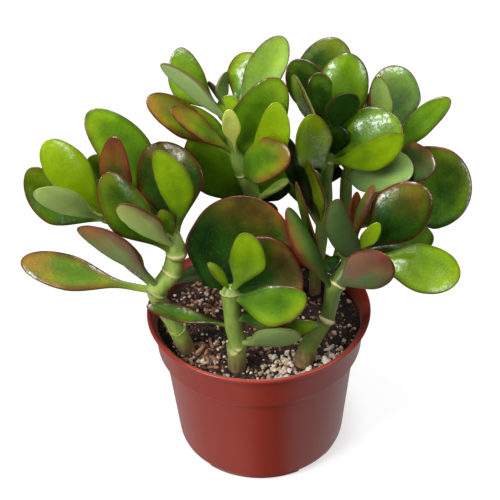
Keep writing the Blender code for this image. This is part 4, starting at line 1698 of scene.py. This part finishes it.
def strews() -> tuple[tuple[Strew, str], ...]:
    """Give what lies on the mix, each kind with the name of its finish."""
    front = Drift((17, -40), 17, 1.0)
    corner = Drift((37, -33), 12, 0.9)
    right = Drift((48, -14), 9, 0.5)
    left = Drift((-30, -33), 15, 0.9)
    back = Drift((-30, 20), 14, 0.7)
    return (
        (Strew(
            "perlite_large", count=170, smallest=0.9, largest=1.9, shape=(1.0, 0.85, 0.8), cuts=2,
            lumps=0.30, sunk=0.25, tints=(0.35, 1.0), spread=0.03, drifts=(front, corner), seed=5,
        ), "grit"),
        (Strew(
            "perlite_small", count=620, smallest=0.5, largest=1.2, shape=(1.0, 0.9, 0.8), cuts=1,
            lumps=0.30, sunk=0.2, tints=(0.0, 0.95), spread=0.12,
            drifts=(front, corner, right, left, back), seed=6,
        ), "grit"),
        (Strew(
            "bark_chips", count=420, smallest=0.8, largest=2.2, shape=(1.5, 0.55, 0.4), cuts=1,
            lumps=0.25, sunk=0.1, tints=(0.0, 1.0), spread=0.12, drifts=(left, back), seed=7,
        ), "bark"),
        (Strew(
            "peat_crumbs", count=1500, smallest=0.5, largest=1.4, shape=(1.0, 0.9, 0.7), cuts=1,
            lumps=0.35, sunk=0.3, tints=(0.0, 0.35), spread=1.0, drifts=(), seed=8,
        ), "peat"),
    )


@dataclass(frozen=True)
class SoftBox:
    """A large soft light. Diffuse and glossy say if it lights matt things and is reflected."""

    name: str
    place: Triple
    size: tuple[float, float]
    power: float
    diffuse: bool = True
    glossy: bool = True
    colour: Triple = (1.0, 1.0, 1.0)
    aim: Triple = (0.0, 0.0, 110.0)

    def add(self) -> None:
        """Hang the light, turned to its aim."""
        light = bpy.data.lights.new(self.name, "AREA")
        light.shape = "RECTANGLE"
        light.size = self.size[0] * MM
        light.size_y = self.size[1] * MM
        light.energy = self.power
        light.color = self.colour
        thing = bpy.data.objects.new(self.name, light)
        thing.visible_diffuse = self.diffuse
        thing.visible_glossy = self.glossy
        thing.location = Vector(self.place) * MM
        thing.rotation_euler = (Vector(self.aim) - Vector(self.place)).to_track_quat("-Z", "Y").to_euler()
        bpy.context.scene.collection.objects.link(thing)


@dataclass(frozen=True)
class Studio:
    """The floor, the lights and the camera."""

    floor_size: float = 3000.0
    sky: Triple = (1.0, 1.0, 1.0)
    sky_strength: float = 0.22
    camera_place: Triple = (-3.73, -483.12, 479.43)
    camera_aim: Triple = (-3.73, 0.0, 123.63)
    camera_roll: float = math.radians(-1.64)
    lens: float = 83.52
    sensor: float = 36.0
    nearest_seen: float = 10.0
    lights: tuple[SoftBox, ...] = (
        SoftBox("key light", (-620, -480, 760), (360, 360), 8.5),
        SoftBox("top light", (60, 60, 950), (420, 360), 7.5),
        SoftBox("front light", (-100, -1000, 360), (1000, 800), 2.7, glossy=False),
        SoftBox("side light", (800, -300, 240), (600, 500), 1.0, glossy=False),
        SoftBox("left fill", (-900, -500, 160), (600, 500), 2.2, glossy=False),
        SoftBox("glint light", (760, -360, 620), (300, 480), 3.4, diffuse=False),
        SoftBox("left bounce", (-400, 50, -300), (700, 1000), 0.9, diffuse=False, aim=(-400, 50, 0)),
        SoftBox("right bounce", (420, 160, -300), (600, 800), 0.9, diffuse=False, aim=(420, 160, 0)),
    )

    def build_floor(self) -> None:
        """Lay the floor."""
        bm = bmesh.new()
        bmesh.ops.create_grid(bm, x_segments=2, y_segments=2, size=self.floor_size / 2)
        floor = finished("floor", bm, FloorPaint().made())
        floor.visible_diffuse = False
        floor.visible_glossy = False

    def build_sky(self) -> None:
        """Light the room softly from all sides."""
        world = bpy.data.worlds.new("pale room")
        world.use_nodes = True
        back = world.node_tree.nodes["Background"]
        back.inputs["Color"].default_value = (*self.sky, 1.0)
        back.inputs["Strength"].default_value = self.sky_strength
        world.cycles_visibility.glossy = False
        bpy.context.scene.world = world

    def build_camera(self) -> None:
        """Set the camera, and show its picture without a film look."""
        camera = bpy.data.cameras.new("camera")
        camera.lens = self.lens
        camera.sensor_width = self.sensor
        camera.clip_start = self.nearest_seen * MM
        thing = bpy.data.objects.new("camera", camera)
        place = Vector(self.camera_place)
        turn = (Vector(self.camera_aim) - place).to_track_quat("-Z", "Y").to_matrix()
        turn = turn @ Matrix.Rotation(self.camera_roll, 3, "Z")
        thing.location = place * MM
        thing.rotation_euler = turn.to_euler()
        scene = bpy.context.scene
        scene.collection.objects.link(thing)
        scene.camera = thing
        scene.view_settings.view_transform = "Standard"
        scene.view_settings.look = "None"

    def build(self) -> None:
        """Set the whole stage."""
        self.build_floor()
        self.build_sky()
        self.build_camera()
        for light in self.lights:
            light.add()


def stem_feet(top: float) -> tuple[tuple[float, float, float], ...]:
    """Give where the stems stand in the mix.

    Args:
        top: The height of the mix's top.

    Returns:
        Each stem's x, y and radius there.
    """
    feet = []
    for branches in PLANTS.values():
        low, high = branches[0].line[:2]
        spot = Vector(low).lerp(Vector(high), min((top - low[2]) / (high[2] - low[2]), 1.0))
        feet.append((spot.x, spot.y, spot.w + PottingMix.gap))
    return tuple(feet)


def main() -> None:
    """Build the looks of the whole potted plant."""
    logging.basicConfig(level=logging.INFO, format="%(name)s: %(message)s")
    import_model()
    Studio().build()
    pot = Pot()
    pot.build(PotPlastic().made())
    mix = PottingMix(pot, feet=stem_feet(PottingMix.top))
    finishes = {"grit": Grit().made(), "bark": Bark().made(), "peat": Peat().made()}
    mix.build(finishes["peat"])
    for strew, finish in strews():
        strew.build(mix, finishes[finish])
    skin, bark = LeafSkin().made(), StemBark().made()
    for seed, (node, branches) in enumerate(PLANTS.items()):
        LeafyStem(node, branches, mix.top, seed).build(skin, bark)


if __name__ == "__main__":
    main()
